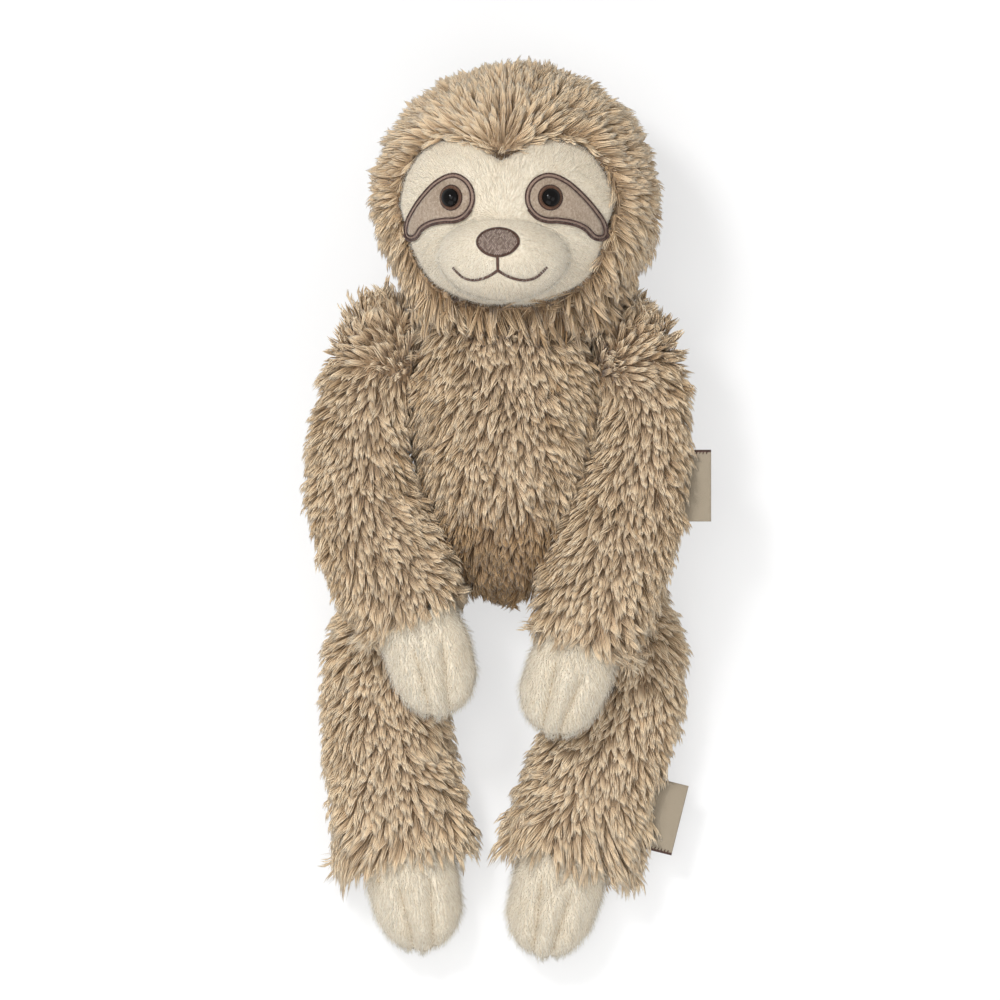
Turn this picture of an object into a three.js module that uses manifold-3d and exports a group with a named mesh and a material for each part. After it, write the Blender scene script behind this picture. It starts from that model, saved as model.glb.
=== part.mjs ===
// Plush sloth lying on its back: long-pile covers over fibre filling, short-pile face and paws.
// Millimetres, +Z up, head towards +Y, face towards +Z. Left and right are the toy's own, so left is +X.
// The origin is on the floor, under the middle of the torso's flat back.
import * as THREE from 'three';
import { mergeVertices } from 'three/addons/utils/BufferGeometryUtils.js';
import Module from 'manifold-3d';

const wasm = await Module();
wasm.setup();

// Fabrics and clearances
const seamGap = 0.3; // between two pieces that are sewn together
const restGap = 0.5; // between an arm and the leg that it lies on
const swingGap = 0.4; // more room in the torso's hollows that the arms and legs swing out of
const coverThickness = 5.5; // knitted backing and its long pile
const panelThickness = 2.5; // short-pile fabric of the face and paws
const panelRecess = 3; // the face panel lies this far below the hood's pile
const floorPress = 0.5; // soft forms are pressed this far flat on the floor
const cutOverrun = 30; // how far a cutting body runs past what it cuts
const openOverrun = 10; // how far a cutting tube runs out of an open seam
const plumpness = 2.3; // exponent of the soft sections, 2 is an ellipse

// Torso: an egg with its narrow end at the crotch
const torso = { length: 119.5, halfWidth: 35.3, rise: 39, drop: 38, shiftX: 2 };
const torsoBelowOriginShare = 0.483; // of its length
const torsoSectionShares = [
  // along from the crotch, half width, rise, drop, height of the widest line
  [0, 0.52, 0.5, 0.62, 0.62],
  [0.12, 0.52, 0.56, 0.68, 0.68],
  [0.24, 0.72, 0.78, 0.86, 0.86],
  [0.36, 0.9, 0.96, 0.97, 0.97],
  [0.5, 0.985, 1, 1, 1],
  [0.7, 1.02, 0.95, 1, 1],
  [0.86, 1.02, 0.86, 0.95, 0.95],
  [1, 0.9, 0.74, 0.86, 0.86],
];
const crotchRound = 20; // length of the rounded end
const neckRound = 14;

// Head: a body of revolution about the neck's axis, so that it turns in the torso's socket
const head = { halfWidth: 54.5, halfHeight: 52, shiftX: 6.2, sink: 16.5, turnDegrees: -7 };
const neckOpening = { radius: 12, height: 44 };

// Face outline in the head's own plane, in shares of the face's half width
const face = { halfWidth: 42.6 };
const faceOutlineShares = [
  [0, 0.362],
  [0.16, 0.447],
  [0.33, 0.532],
  [0.5, 0.558],
  [0.73, 0.488],
  [0.93, 0.237],
  [1, -0.038],
  [0.944, -0.248],
  [0.885, -0.458],
  [0.735, -0.738],
  [0.5, -0.893],
  [0.25, -0.968],
  [0, -0.983],
];
// Drops are measured down from the head's centre, and the muzzle's centre lies back from the face by its sink
const muzzle = { halfWidth: 25.5, halfHeight: 17.5, halfDepth: 20, drop: 21.5, sink: 15.5 };
const nose = { halfWidth: 8.4, halfHeight: 5.5, drop: 16.8, thickness: 1.1 };
const mouth = { halfWidth: 18.2, lipDrop: 3.9, topDrop: 23.2, forkDrop: 27.3, width: 1.2, thickness: 0.7 };
// From the fork to a corner: out by the mouth's half width, down by the lip's drop
const mouthCurveShares = [
  [0, 0],
  [0.25, 0.65],
  [0.52, 1],
  [0.82, 0.41],
  [1, -0.18],
];

// Eyes: a plastic dome with a shank and lock washer, a stitched ring and a felt patch with a border
const eye = { radius: 3.5, domeHeight: 3, rimHeight: 0.7, shankRadius: 1.6, shankLength: 11.5 };
const domeRiseShares = [0.25, 0.5, 0.75, 0.92];
const eyeSpacing = 38.2; // between the two eyes
const eyeRise = 0.7; // above the head's centre
const eyeRing = { width: 1.15, thickness: 0.9 };
const washer = { radius: 5.5, thickness: 1.6 };
const patch = { radius: 7.3, thickness: 0.8, tailDrop: 14.1 };
const patchTipShare = 0.845; // of the face's half width, where the tail ends beside the hood
const border = { width: 1.7, thickness: 1.2 };
// Patch outline: the round end as angles about the eye, then the tail in shares of its reach and drop
const patchRoundDegrees = [95, 130, 165, 200, 235, 262];
const patchTailShares = [
  [0.16, 0.52],
  [0.54, 0.6],
  [0.8, 0.76],
  [0.97, 0.98],
  [1.07, 0.97],
  [1.05, 0.72],
  [0.9, 0.4],
  [0.64, 0.01],
  [0.3, -0.36],
];

// Arms, from the shoulder's axis to the finger tips
const sleeve = { halfWidth: 22.5, halfDepth: 16.5, round: 22 };
const paw = { halfWidth: 17.4, halfDepth: 12.5, round: 15 };
const stitch = { width: 0.9, depth: 1.2 };
// The two stitched lines of a paw: across its half width, from and to along it, and how far they close in
const fingerLineShares = [-0.34, 0.34];
const fingerFromShare = 0.3;
const fingerToShare = 0.97;
const fingerNarrowShare = 0.45;
const shoulderDrop = 19; // below the torso's top
const shoulderHeight = 47.5;
const armholeRadius = 6;
const besideTorso = 41.5; // how far below the shoulder an arm lies flat against the torso's side
const rightArm = { length: 147, wristShare: 0.755 };
const leftArm = { length: 154, wristShare: 0.775 };
// Route: out from the torso's side by sleeve half widths, down by arm lengths, and lift. Lift runs from the
// shoulder's height up to that of a sleeve on a leg, and on the last two points from that of a paw on a leg.
const rightArmRouteShares = [
  [0.28, -0.105, 0],
  [0.52, 0, 0],
  [0.86, 0.148, 0.4],
  [1, 0.296, 0.8],
  [0.87, 0.457, 1],
  [0.42, 0.606, 1],
  [-0.08, 0.753, 1],
  [-0.34, 0.88, 0.3],
  [-0.46, 1.001, 0],
];
const leftArmRouteShares = [
  [0.3, -0.093, 0],
  [0.54, 0, 0],
  [0.82, 0.14, 0.4],
  [0.85, 0.28, 0.8],
  [0.58, 0.433, 1],
  [0.16, 0.586, 1],
  [-0.27, 0.773, 1],
  [-0.57, 0.88, 0.3],
  [-0.82, 1.001, 0],
];
// Sections: along the piece, half width, half depth
sleeve.sectionShares = [
  [0, 0.62, 0.78],
  [0.2, 0.67, 0.84],
  [0.38, 0.76, 0.95],
  [0.55, 0.9, 1],
  [0.74, 1, 1],
  [0.9, 1, 0.98],
  [1, 0.9, 0.9],
];
paw.sectionShares = [
  [0, 0.9, 0.98],
  [0.3, 1, 1],
  [0.7, 0.96, 0.92],
  [1, 0.76, 0.74],
];

// Legs, from the hip's axis to the toes
const trouser = { halfWidth: 24.5, halfDepth: 17.5 };
const foot = { halfWidth: 18.4, halfDepth: 14.5, round: 15 };
const hipSpread = 32.6; // from the torso's middle line
const hipRise = 16.4; // above the torso's bottom
const hipOpeningRadius = 8;
const legLength = 155;
const ankleShare = 0.775;
// Route: out by hip spreads from the torso's middle line, down by leg lengths from the hip's axis, and the
// height between a foot's and a leg's
const rightLegRouteShares = [
  [1, 0, 1],
  [1.13, 0.075, 1],
  [1.38, 0.17, 1],
  [1.445, 0.333, 1],
  [1.4, 0.489, 1],
  [1.28, 0.632, 1],
  [1.165, 0.763, 0.5],
  [1.045, 0.88, 0.1],
  [0.97, 1.001, 0],
];
const leftLegRouteShares = [
  [1, 0, 1],
  [1.13, 0.075, 1],
  [1.42, 0.17, 1],
  [1.47, 0.307, 1],
  [1.21, 0.476, 1],
  [0.92, 0.632, 1],
  [0.73, 0.769, 0.5],
  [0.56, 0.884, 0.1],
  [0.42, 1.016, 0],
];
trouser.sectionShares = [
  [0, 0.84, 1],
  [0.22, 0.88, 1],
  [0.45, 0.93, 1],
  [0.65, 0.98, 1],
  [0.85, 1.05, 1],
  [1, 1, 0.96],
];
trouser.round = trouser.halfWidth * trouser.sectionShares[0][1];
foot.sectionShares = [
  [0, 0.94, 1],
  [0.3, 1, 1],
  [0.7, 0.93, 0.9],
  [1, 0.72, 0.7],
];

// Woven labels: a ribbon folded double, sewn into a seam of the left arm and the left leg
const label = { width: 28, ply: 0.45, sunk: 3.6 };
const armLabel = { length: 12.2, turnDegrees: 0, alongShare: 0.391 }; // along the arm's route
const legLabel = { length: 16.2, turnDegrees: -14, alongShare: 0.635 }; // along the leg's route

// Facets
const outerFacets = { sides: 16, upperRings: 6, lowerRings: 2, headSides: 24, headRows: 12 };
const innerFacets = { sides: 10, upperRings: 4, lowerRings: 1, headSides: 14, headRows: 8 };
const capRings = 2;
const muzzleSides = 12;
const muzzleRows = 8;
const roundSides = 12;
const socketSides = 16;
const outlineSteps = 18;
const lineSteps = 3;
const lipSteps = 7;

// Heights and places that follow from the sizes above
const farReach = torso.length + legLength + leftArm.length + head.halfHeight;
const torsoBottomY = -torso.length * torsoBelowOriginShare;
const torsoTopY = torsoBottomY + torso.length;
const shoulderY = torsoTopY - shoulderDrop;
const hipY = torsoBottomY + hipRise;
const legZ = trouser.halfDepth - floorPress;
const legTop = legZ + trouser.halfDepth;
const sleeveRestZ = legTop + restGap + sleeve.halfDepth;
const pawRestZ = legTop + restGap + paw.halfDepth;
const muzzleForward = head.halfWidth - muzzle.sink;
const headCentre = new THREE.Vector3(
  head.shiftX,
  torsoTopY + head.halfHeight - head.sink,
  head.halfWidth - floorPress,
);

const material = (hex, roughness = 0.95, metalness = 0) =>
  new THREE.MeshStandardMaterial({ color: hex, roughness, metalness });
const longPile = material(0xb99f7f);
const shortPile = material(0xe6dac2);
const patchFelt = material(0x9a887a);
const brownThread = material(0x54382f, 0.8);
const noseThread = material(0x7d685e, 0.8);
const creamThread = material(0xcdb99a);
const blackPlastic = material(0x080606, 0.1);
const whitePlastic = material(0xe4e2dc, 0.5);
const fibre = material(0xf3f2ee, 1);
const ribbon = material(0xbdb4a0, 0.8);

// Turns a closed three.js geometry into a solid that can be cut and joined.
function solidOf(geometry) {
  const bare = geometry.index ? geometry.toNonIndexed() : geometry.clone();
  for (const name of Object.keys(bare.attributes)) {
    if (name !== 'position') bare.deleteAttribute(name);
  }
  const merged = mergeVertices(bare, 1e-4);
  return new wasm.Manifold(new wasm.Mesh({
    numProp: 3,
    vertProperties: new Float32Array(merged.attributes.position.array),
    triVerts: new Uint32Array(merged.index.array),
  }));
}

// Turns a solid back into a geometry, moved into the frame of the group that will hold it.
function geometryOf(solid, group) {
  const mesh = solid.getMesh();
  const positions = new Float32Array(mesh.numVert * 3);
  for (let i = 0; i < mesh.numVert; i += 1) {
    positions.set(mesh.vertProperties.subarray(i * mesh.numProp, i * mesh.numProp + 3), i * 3);
  }
  const geometry = new THREE.BufferGeometry();
  geometry.setAttribute('position', new THREE.BufferAttribute(positions, 3));
  geometry.setIndex(new THREE.BufferAttribute(new Uint32Array(mesh.triVerts), 1));
  group.updateMatrixWorld(true);
  geometry.applyMatrix4(group.matrixWorld.clone().invert());
  geometry.computeVertexNormals();
  return geometry;
}

function addPiece(group, name, solid, finish) {
  const mesh = new THREE.Mesh(geometryOf(solid, group), finish);
  mesh.name = name;
  group.add(mesh);
}

// Reads a table of shares at a place between its rows, with smooth steps.
function readTable(table, at) {
  let row = 0;
  while (row < table.length - 2 && at > table[row + 1][0]) row += 1;
  const [low, high] = [table[row], table[row + 1]];
  const part = THREE.MathUtils.clamp((at - low[0]) / (high[0] - low[0]), 0, 1);
  const eased = part * part * (3 - 2 * part);
  return low.slice(1).map((value, i) => value + (high[i + 1] - value) * eased);
}

// The rings of a soft tube, as its distance along the route and its share of the full section.
// A round end closes in over its own length, and an open end may run on past the tube.
function tubeStations({ from, to, roundStart = 0, roundEnd = 0, before = 0, past = 0, rings }, inset) {
  const closing = [];
  for (let k = 1; k <= capRings; k += 1) closing.push(Math.sin((Math.PI / 2) * (k / (capRings + 1))));
  const firstFull = from + roundStart;
  const lastFull = to - roundEnd;
  const reachOf = (round, size) => (round - inset) * Math.sqrt(1 - size ** 2);
  const stations = [];
  if (before > 0) stations.push([from - before, 1]);
  if (roundStart > 0) closing.forEach((size) => stations.push([firstFull - reachOf(roundStart, size), size]));
  for (let k = 0; k <= rings; k += 1) stations.push([firstFull + ((lastFull - firstFull) * k) / rings, 1]);
  closing.reverse();
  if (roundEnd > 0) closing.forEach((size) => stations.push([lastFull + reachOf(roundEnd, size), size]));
  if (past > 0) stations.push([to + past, 1]);
  return stations;
}

// A soft stuffed tube along a route. sectionAt(distance, height) gives half width, rise and drop.
// A round end closes on a pole, and an inset makes the same form smaller all round.
function softTube(form, inset) {
  const { route, sectionAt, sides, roundStart = 0, roundEnd = 0 } = form;
  const total = route.getLength();
  const stations = tubeStations(form, inset);
  const up = new THREE.Vector3(0, 0, 1);
  const frameAt = (distance) => {
    const share = THREE.MathUtils.clamp(distance / total, 0, 1);
    const ahead = route.getTangentAt(share);
    const past = distance - share * total;
    const centre = route.getPointAt(share).addScaledVector(ahead, past);
    const across = new THREE.Vector3().crossVectors(ahead, up).normalize();
    return { centre, across, above: new THREE.Vector3().crossVectors(across, ahead) };
  };
  const points = [];
  const signedPower = (value) => Math.sign(value) * Math.abs(value) ** (2 / plumpness);
  for (const [distance, size] of stations) {
    const { centre, across, above } = frameAt(distance);
    const [halfWidth, rise, drop] = sectionAt(distance, centre.z);
    for (let i = 0; i < sides; i += 1) {
      const angle = (2 * Math.PI * i) / sides;
      const sideways = signedPower(Math.cos(angle)) * (halfWidth - inset) * size;
      const height = signedPower(Math.sin(angle)) * ((Math.sin(angle) > 0 ? rise : drop) - inset) * size;
      points.push(centre.clone().addScaledVector(across, sideways).addScaledVector(above, height));
    }
  }
  const firstPole = points.push(frameAt(roundStart > 0 ? form.from + inset : stations[0][0]).centre) - 1;
  const lastPole = points.push(frameAt(roundEnd > 0 ? form.to - inset : stations.at(-1)[0]).centre) - 1;
  const faces = [];
  for (let r = 0; r < stations.length - 1; r += 1) {
    for (let i = 0; i < sides; i += 1) {
      const [a, b] = [r * sides + i, r * sides + ((i + 1) % sides)];
      faces.push(a, a + sides, b, b, a + sides, b + sides);
    }
  }
  const lastRing = (stations.length - 1) * sides;
  for (let i = 0; i < sides; i += 1) {
    const next = (i + 1) % sides;
    faces.push(firstPole, i, next, lastPole, lastRing + next, lastRing + i);
  }
  const geometry = new THREE.BufferGeometry().setFromPoints(points);
  geometry.setIndex(faces);
  const solid = solidOf(geometry);
  return solid.volume() > 0 ? solid : solidOf(flipped(geometry));
}

function flipped(geometry) {
  const index = Array.from(geometry.index.array);
  const turned = geometry.clone();
  turned.setIndex(index.map((value, i) => index[i - (i % 3) + [0, 2, 1][i % 3]]));
  return turned;
}

function spheroid(centre, halfX, halfY, halfZ, sides, rows) {
  const geometry = new THREE.SphereGeometry(1, sides, rows);
  geometry.scale(halfX, halfY, halfZ);
  geometry.translate(centre.x, centre.y, centre.z);
  return solidOf(geometry);
}

// A block for cutting, which reaches past every solid on each side that isn't given.
function slab({ lowX = -farReach, highX = farReach, lowY = -farReach, lowZ = -farReach }) {
  const geometry = new THREE.BoxGeometry(highX - lowX, farReach - lowY, farReach - lowZ);
  geometry.translate((lowX + highX) / 2, (lowY + farReach) / 2, (lowZ + farReach) / 2);
  return solidOf(geometry);
}

// A round bar from one point to another.
function bar(from, to, radius, sides = roundSides) {
  const along = new THREE.Vector3().subVectors(to, from);
  const geometry = new THREE.CylinderGeometry(radius, radius, along.length(), sides);
  geometry.applyQuaternion(new THREE.Quaternion().setFromUnitVectors(
    new THREE.Vector3(0, 1, 0),
    along.clone().normalize(),
  ));
  const middle = new THREE.Vector3().addVectors(from, to).multiplyScalar(0.5);
  geometry.translate(middle.x, middle.y, middle.z);
  return solidOf(geometry);
}

const aboveFloor = (inset) => slab({ lowZ: Math.max(inset, 0) });

// Head form and the frame that its face is drawn in
const headFrame = new THREE.Matrix4().makeRotationY(THREE.MathUtils.degToRad(head.turnDegrees));
headFrame.setPosition(headCentre);

function headForm(inset, facets = outerFacets) {
  const round = head.halfWidth - inset;
  return spheroid(headCentre, round, head.halfHeight - inset, round, facets.headSides, facets.headRows)
    .intersect(aboveFloor(inset));
}

// A flat outline of the head's own plane, run forward along the face.
function facePrism(outline, centreLow = 0) {
  const shape = new THREE.Shape(outline);
  const depth = head.halfWidth + cutOverrun - centreLow;
  const geometry = new THREE.ExtrudeGeometry(shape, { depth, bevelEnabled: false });
  geometry.translate(0, 0, centreLow);
  geometry.applyMatrix4(headFrame);
  return solidOf(geometry);
}

// Moves each point of a closed outline outwards, along the mean of its two sides' normals.
function offsetOutline(outline, distance) {
  const area = THREE.ShapeUtils.area(outline);
  return outline.map((point, i) => {
    const before = outline[(i + outline.length - 1) % outline.length];
    const after = outline[(i + 1) % outline.length];
    const along = after.clone().sub(before).normalize();
    const outwards = new THREE.Vector2(along.y, -along.x).multiplyScalar(Math.sign(area) * distance);
    return point.clone().add(outwards);
  });
}

// The face's outline: the left half from the notch down to the chin, then the right half back up.
function faceOutline() {
  const left = faceOutlineShares.map(([x, y]) => new THREE.Vector2(x, y).multiplyScalar(face.halfWidth));
  const right = left.slice(1, -1).reverse().map((point) => new THREE.Vector2(-point.x, point.y));
  return [...left, ...right].reverse();
}

// The felt patch about one eye, for side 1 (left) or -1 (right), as a closed smooth outline.
function patchOutline(side) {
  const centre = new THREE.Vector2(eyeSpacing / 2, eyeRise);
  const round = patchRoundDegrees.map((degrees) => {
    const angle = THREE.MathUtils.degToRad(degrees);
    return new THREE.Vector3(
      centre.x + patch.radius * Math.cos(angle),
      centre.y + patch.radius * Math.sin(angle),
      0,
    );
  });
  const tailOut = face.halfWidth * patchTipShare - centre.x;
  const tail = patchTailShares.map(([out, down]) =>
    new THREE.Vector3(centre.x + tailOut * out, centre.y - patch.tailDrop * down, 0));
  const curve = new THREE.CatmullRomCurve3([...round, ...tail], true, 'centripetal');
  const points = curve.getPoints(outlineSteps).slice(0, -1).map((p) => new THREE.Vector2(side * p.x, p.y));
  return side > 0 ? points : points.reverse();
}

function muzzleForm(inset) {
  const geometry = new THREE.SphereGeometry(1, muzzleSides, muzzleRows);
  geometry.scale(muzzle.halfWidth - inset, muzzle.halfHeight - inset, muzzle.halfDepth - inset);
  geometry.translate(0, -muzzle.drop, muzzleForward);
  geometry.applyMatrix4(headFrame);
  return solidOf(geometry);
}

// A strip of even width along a flat curve.
function stripOutline(points, width) {
  const sideOf = (distance) => points.map((point, i) => {
    const before = points[Math.max(i - 1, 0)];
    const after = points[Math.min(i + 1, points.length - 1)];
    const along = after.clone().sub(before).normalize();
    return point.clone().add(new THREE.Vector2(along.y, -along.x).multiplyScalar(distance));
  });
  return [...sideOf(width / 2), ...sideOf(-width / 2).reverse()];
}

function mouthPrism() {
  const stem = [
    new THREE.Vector2(0, -mouth.topDrop),
    new THREE.Vector2(0, -mouth.forkDrop - mouth.width / 2),
  ];
  const lip = (side) => {
    const points = mouthCurveShares.map(([out, down]) =>
      new THREE.Vector2(side * out * mouth.halfWidth, -mouth.forkDrop - down * mouth.lipDrop));
    return new THREE.SplineCurve(points).getPoints(lipSteps);
  };
  return [stem, lip(1), lip(-1)]
    .map((points) => facePrism(stripOutline(points, mouth.width), muzzleForward))
    .reduce((joined, prism) => joined.add(prism));
}

function noseOutline() {
  const ellipse = new THREE.EllipseCurve(0, -nose.drop, nose.halfWidth, nose.halfHeight);
  return ellipse.getPoints(roundSides).slice(0, -1);
}

// The eye's axis: through the face panel, square to it
function eyeAxis(side) {
  const x = (side * eyeSpacing) / 2;
  const wide = head.halfWidth - panelRecess;
  const tall = head.halfHeight - panelRecess;
  const z = wide * Math.sqrt(1 - (x / wide) ** 2 - (eyeRise / tall) ** 2);
  const seat = new THREE.Vector3(x, eyeRise, z);
  const outwards = new THREE.Vector3(x / wide ** 2, eyeRise / tall ** 2, z / wide ** 2).normalize();
  return { seat: seat.applyMatrix4(headFrame), outwards: outwards.transformDirection(headFrame) };
}

// A turned piece on the eye's axis, from a profile of radius and height above the face panel.
function turnedOnEye(side, profile) {
  const { seat, outwards } = eyeAxis(side);
  const points = profile.map(([radius, height]) => new THREE.Vector2(radius, height));
  const geometry = new THREE.LatheGeometry(points, roundSides);
  geometry.applyQuaternion(new THREE.Quaternion().setFromUnitVectors(new THREE.Vector3(0, 1, 0), outwards));
  geometry.translate(seat.x, seat.y, seat.z);
  return solidOf(geometry);
}

function eyeSolid(side) {
  const base = seamGap + patch.thickness + seamGap;
  const dome = domeRiseShares.map((share) => [
    eye.radius * Math.sqrt(1 - share ** 2),
    base + eye.rimHeight + (eye.domeHeight - eye.rimHeight) * share,
  ]);
  return turnedOnEye(side, [
    [0, base - eye.shankLength],
    [eye.shankRadius, base - eye.shankLength],
    [eye.shankRadius, base],
    [eye.radius, base],
    [eye.radius, base + eye.rimHeight],
    ...dome,
    [0, base + eye.domeHeight],
  ]);
}

// A ring on the eye's axis between two radii and two heights.
function ringOnEye(side, inner, outer, low, high) {
  return turnedOnEye(side, [[inner, low], [outer, low], [outer, high], [inner, high], [inner, low]]);
}

function rodOnEye(side, radius, low, high) {
  return turnedOnEye(side, [[0, low], [radius, low], [radius, high], [0, high]]);
}

// Limb routes
const sideX = (side) => torso.shiftX + side * torso.halfWidth;

function armRoute(side, arm, shares) {
  const points = shares.map(([out, down, lift], i) => {
    const low = i < shares.length - 2 ? shoulderHeight : pawRestZ;
    return new THREE.Vector3(
      sideX(side) + side * out * sleeve.halfWidth,
      shoulderY - down * arm.length,
      low + (sleeveRestZ - low) * lift,
    );
  });
  return new THREE.CatmullRomCurve3(points, false, 'centripetal');
}

function legRoute(side, shares) {
  const points = shares.map(([out, down, lift]) => new THREE.Vector3(
    torso.shiftX + side * out * hipSpread,
    hipY - down * legLength,
    foot.halfDepth + (legZ - foot.halfDepth) * lift,
  ));
  const top = points[0].clone();
  top.y += trouser.round;
  return new THREE.CatmullRomCurve3([top, ...points], false, 'centripetal');
}

// A limb as two soft tubes on one route: the long-pile sleeve, then the paw or foot.
// What lies on the floor reaches down to it all along.
function limb(route, endShare, upper, lower, onFloor) {
  const total = route.getLength();
  const seam = total * endShare;
  const sectionOf = (size, from, to) => (distance, height) => {
    const [wide, deep] = readTable(size.sectionShares, (distance - from) / (to - from));
    const rise = size.halfDepth * deep;
    return [size.halfWidth * wide, rise, onFloor ? height + floorPress : rise];
  };
  const upperAt = sectionOf(upper, 0, seam);
  const upperForm = { route, sectionAt: upperAt, from: 0, to: seam, roundStart: upper.round };
  const lowerAt = sectionOf(lower, seam, total);
  const lowerForm = { route, sectionAt: lowerAt, from: seam + seamGap, to: total, roundEnd: lower.round };
  const upperPart = (inset, facets = outerFacets, past = 0) =>
    softTube({ ...upperForm, past, sides: facets.sides, rings: facets.upperRings }, inset)
      .intersect(aboveFloor(inset));
  const lowerPart = (inset, facets = outerFacets, before = 0) =>
    softTube({ ...lowerForm, before, sides: facets.sides, rings: facets.lowerRings }, inset)
      .intersect(aboveFloor(inset));
  return { route, total, seam, upperPart, lowerPart };
}

const arms = {
  right: limb(armRoute(-1, rightArm, rightArmRouteShares), rightArm.wristShare, sleeve, paw, false),
  left: limb(armRoute(1, leftArm, leftArmRouteShares), leftArm.wristShare, sleeve, paw, false),
};
const legs = {
  right: limb(legRoute(-1, rightLegRouteShares), ankleShare, trouser, foot, true),
  left: limb(legRoute(1, leftLegRouteShares), ankleShare, trouser, foot, true),
};
const sideSign = { right: -1, left: 1 };

// The torso's own space: between the two side planes of the shoulders
const betweenSides = (inset) => slab({ lowX: sideX(-1) + inset, highX: sideX(1) - inset });

// Everything outside one side plane of the torso
function outsideOf(side, distance) {
  const plane = sideX(side) + side * distance;
  return side > 0 ? slab({ lowX: plane }) : slab({ highX: plane });
}

// Beside the torso's full width an arm stops at the side plane, and lower down it crosses it
const upperZone = slab({ lowY: shoulderY - besideTorso });

function armForm(name, inset, facets = outerFacets, past = 0, room = 0) {
  const side = sideSign[name];
  const inwards = upperZone.subtract(outsideOf(side, seamGap + inset));
  return arms[name].upperPart(inset - room, facets, past)
    .subtract(inwards)
    .subtract(headForm(-seamGap - inset, facets));
}

function torsoTube(inset, facets) {
  const heights = torsoSectionShares.map(([at, , , , high]) => new THREE.Vector3(
    torso.shiftX,
    torsoBottomY + at * torso.length,
    torso.drop * high - floorPress,
  ));
  const route = new THREE.CatmullRomCurve3(heights, false, 'centripetal');
  const total = route.getLength();
  return softTube({
    route,
    sectionAt: (distance) => {
      const [wide, rise, drop] = readTable(torsoSectionShares, distance / total);
      return [torso.halfWidth * wide, torso.rise * rise, torso.drop * drop];
    },
    from: 0,
    to: total,
    roundStart: crotchRound,
    roundEnd: neckRound,
    sides: facets.sides,
    rings: facets.upperRings,
  }, inset);
}

// The round seat of a leg's top, about the hip's axis
function hipSocket(side, inset) {
  const x = torso.shiftX + side * hipSpread;
  return bar(
    new THREE.Vector3(x, hipY, -cutOverrun),
    new THREE.Vector3(x, hipY, legTop - inset),
    trouser.round + swingGap - inset,
    socketSides,
  );
}

function torsoForm(inset, facets = outerFacets) {
  const away = -seamGap - inset;
  let form = torsoTube(inset, facets)
    .intersect(betweenSides(inset))
    .intersect(aboveFloor(inset))
    .subtract(headForm(away, facets));
  for (const [name, side] of Object.entries(sideSign)) {
    form = form.subtract(legs[name].upperPart(away - swingGap, facets))
      .subtract(hipSocket(side, away))
      .subtract(armForm(name, away, facets, 0, swingGap));
  }
  return form;
}

// Openings in the covers, where the fillings meet at the neck, shoulders and hips
const neckHole = bar(
  new THREE.Vector3(headCentre.x, headCentre.y, neckOpening.height),
  new THREE.Vector3(headCentre.x, headCentre.y - head.halfHeight - openOverrun, neckOpening.height),
  neckOpening.radius,
);
const armhole = (side) => bar(
  new THREE.Vector3(sideX(side) - side * (coverThickness + sleeve.halfDepth / 2), shoulderY, shoulderHeight),
  new THREE.Vector3(sideX(side) + side * (coverThickness + sleeve.halfDepth / 3), shoulderY, shoulderHeight),
  armholeRadius,
);
const hipHole = (side) => bar(
  new THREE.Vector3(torso.shiftX, hipY + trouser.round / 2, legZ),
  new THREE.Vector3(torso.shiftX + side * hipSpread, hipY, legZ),
  hipOpeningRadius,
);

const sloth = new THREE.Group();

// One group for each part that moves, set at its joint
function bodyGroup(x, y, z) {
  const group = new THREE.Group();
  group.position.set(x, y, z);
  sloth.add(group);
  return group;
}

function buildTorso() {
  const group = bodyGroup(0, 0, 0);
  const cover = torsoForm(0)
    .subtract(torsoForm(coverThickness, innerFacets))
    .subtract(neckHole)
    .subtract(armhole(1))
    .subtract(armhole(-1))
    .subtract(hipHole(1))
    .subtract(hipHole(-1));
  addPiece(group, 'torso_cover', cover, longPile);
  addPiece(group, 'torso_filling', torsoForm(coverThickness + seamGap, innerFacets), fibre);
}

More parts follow.
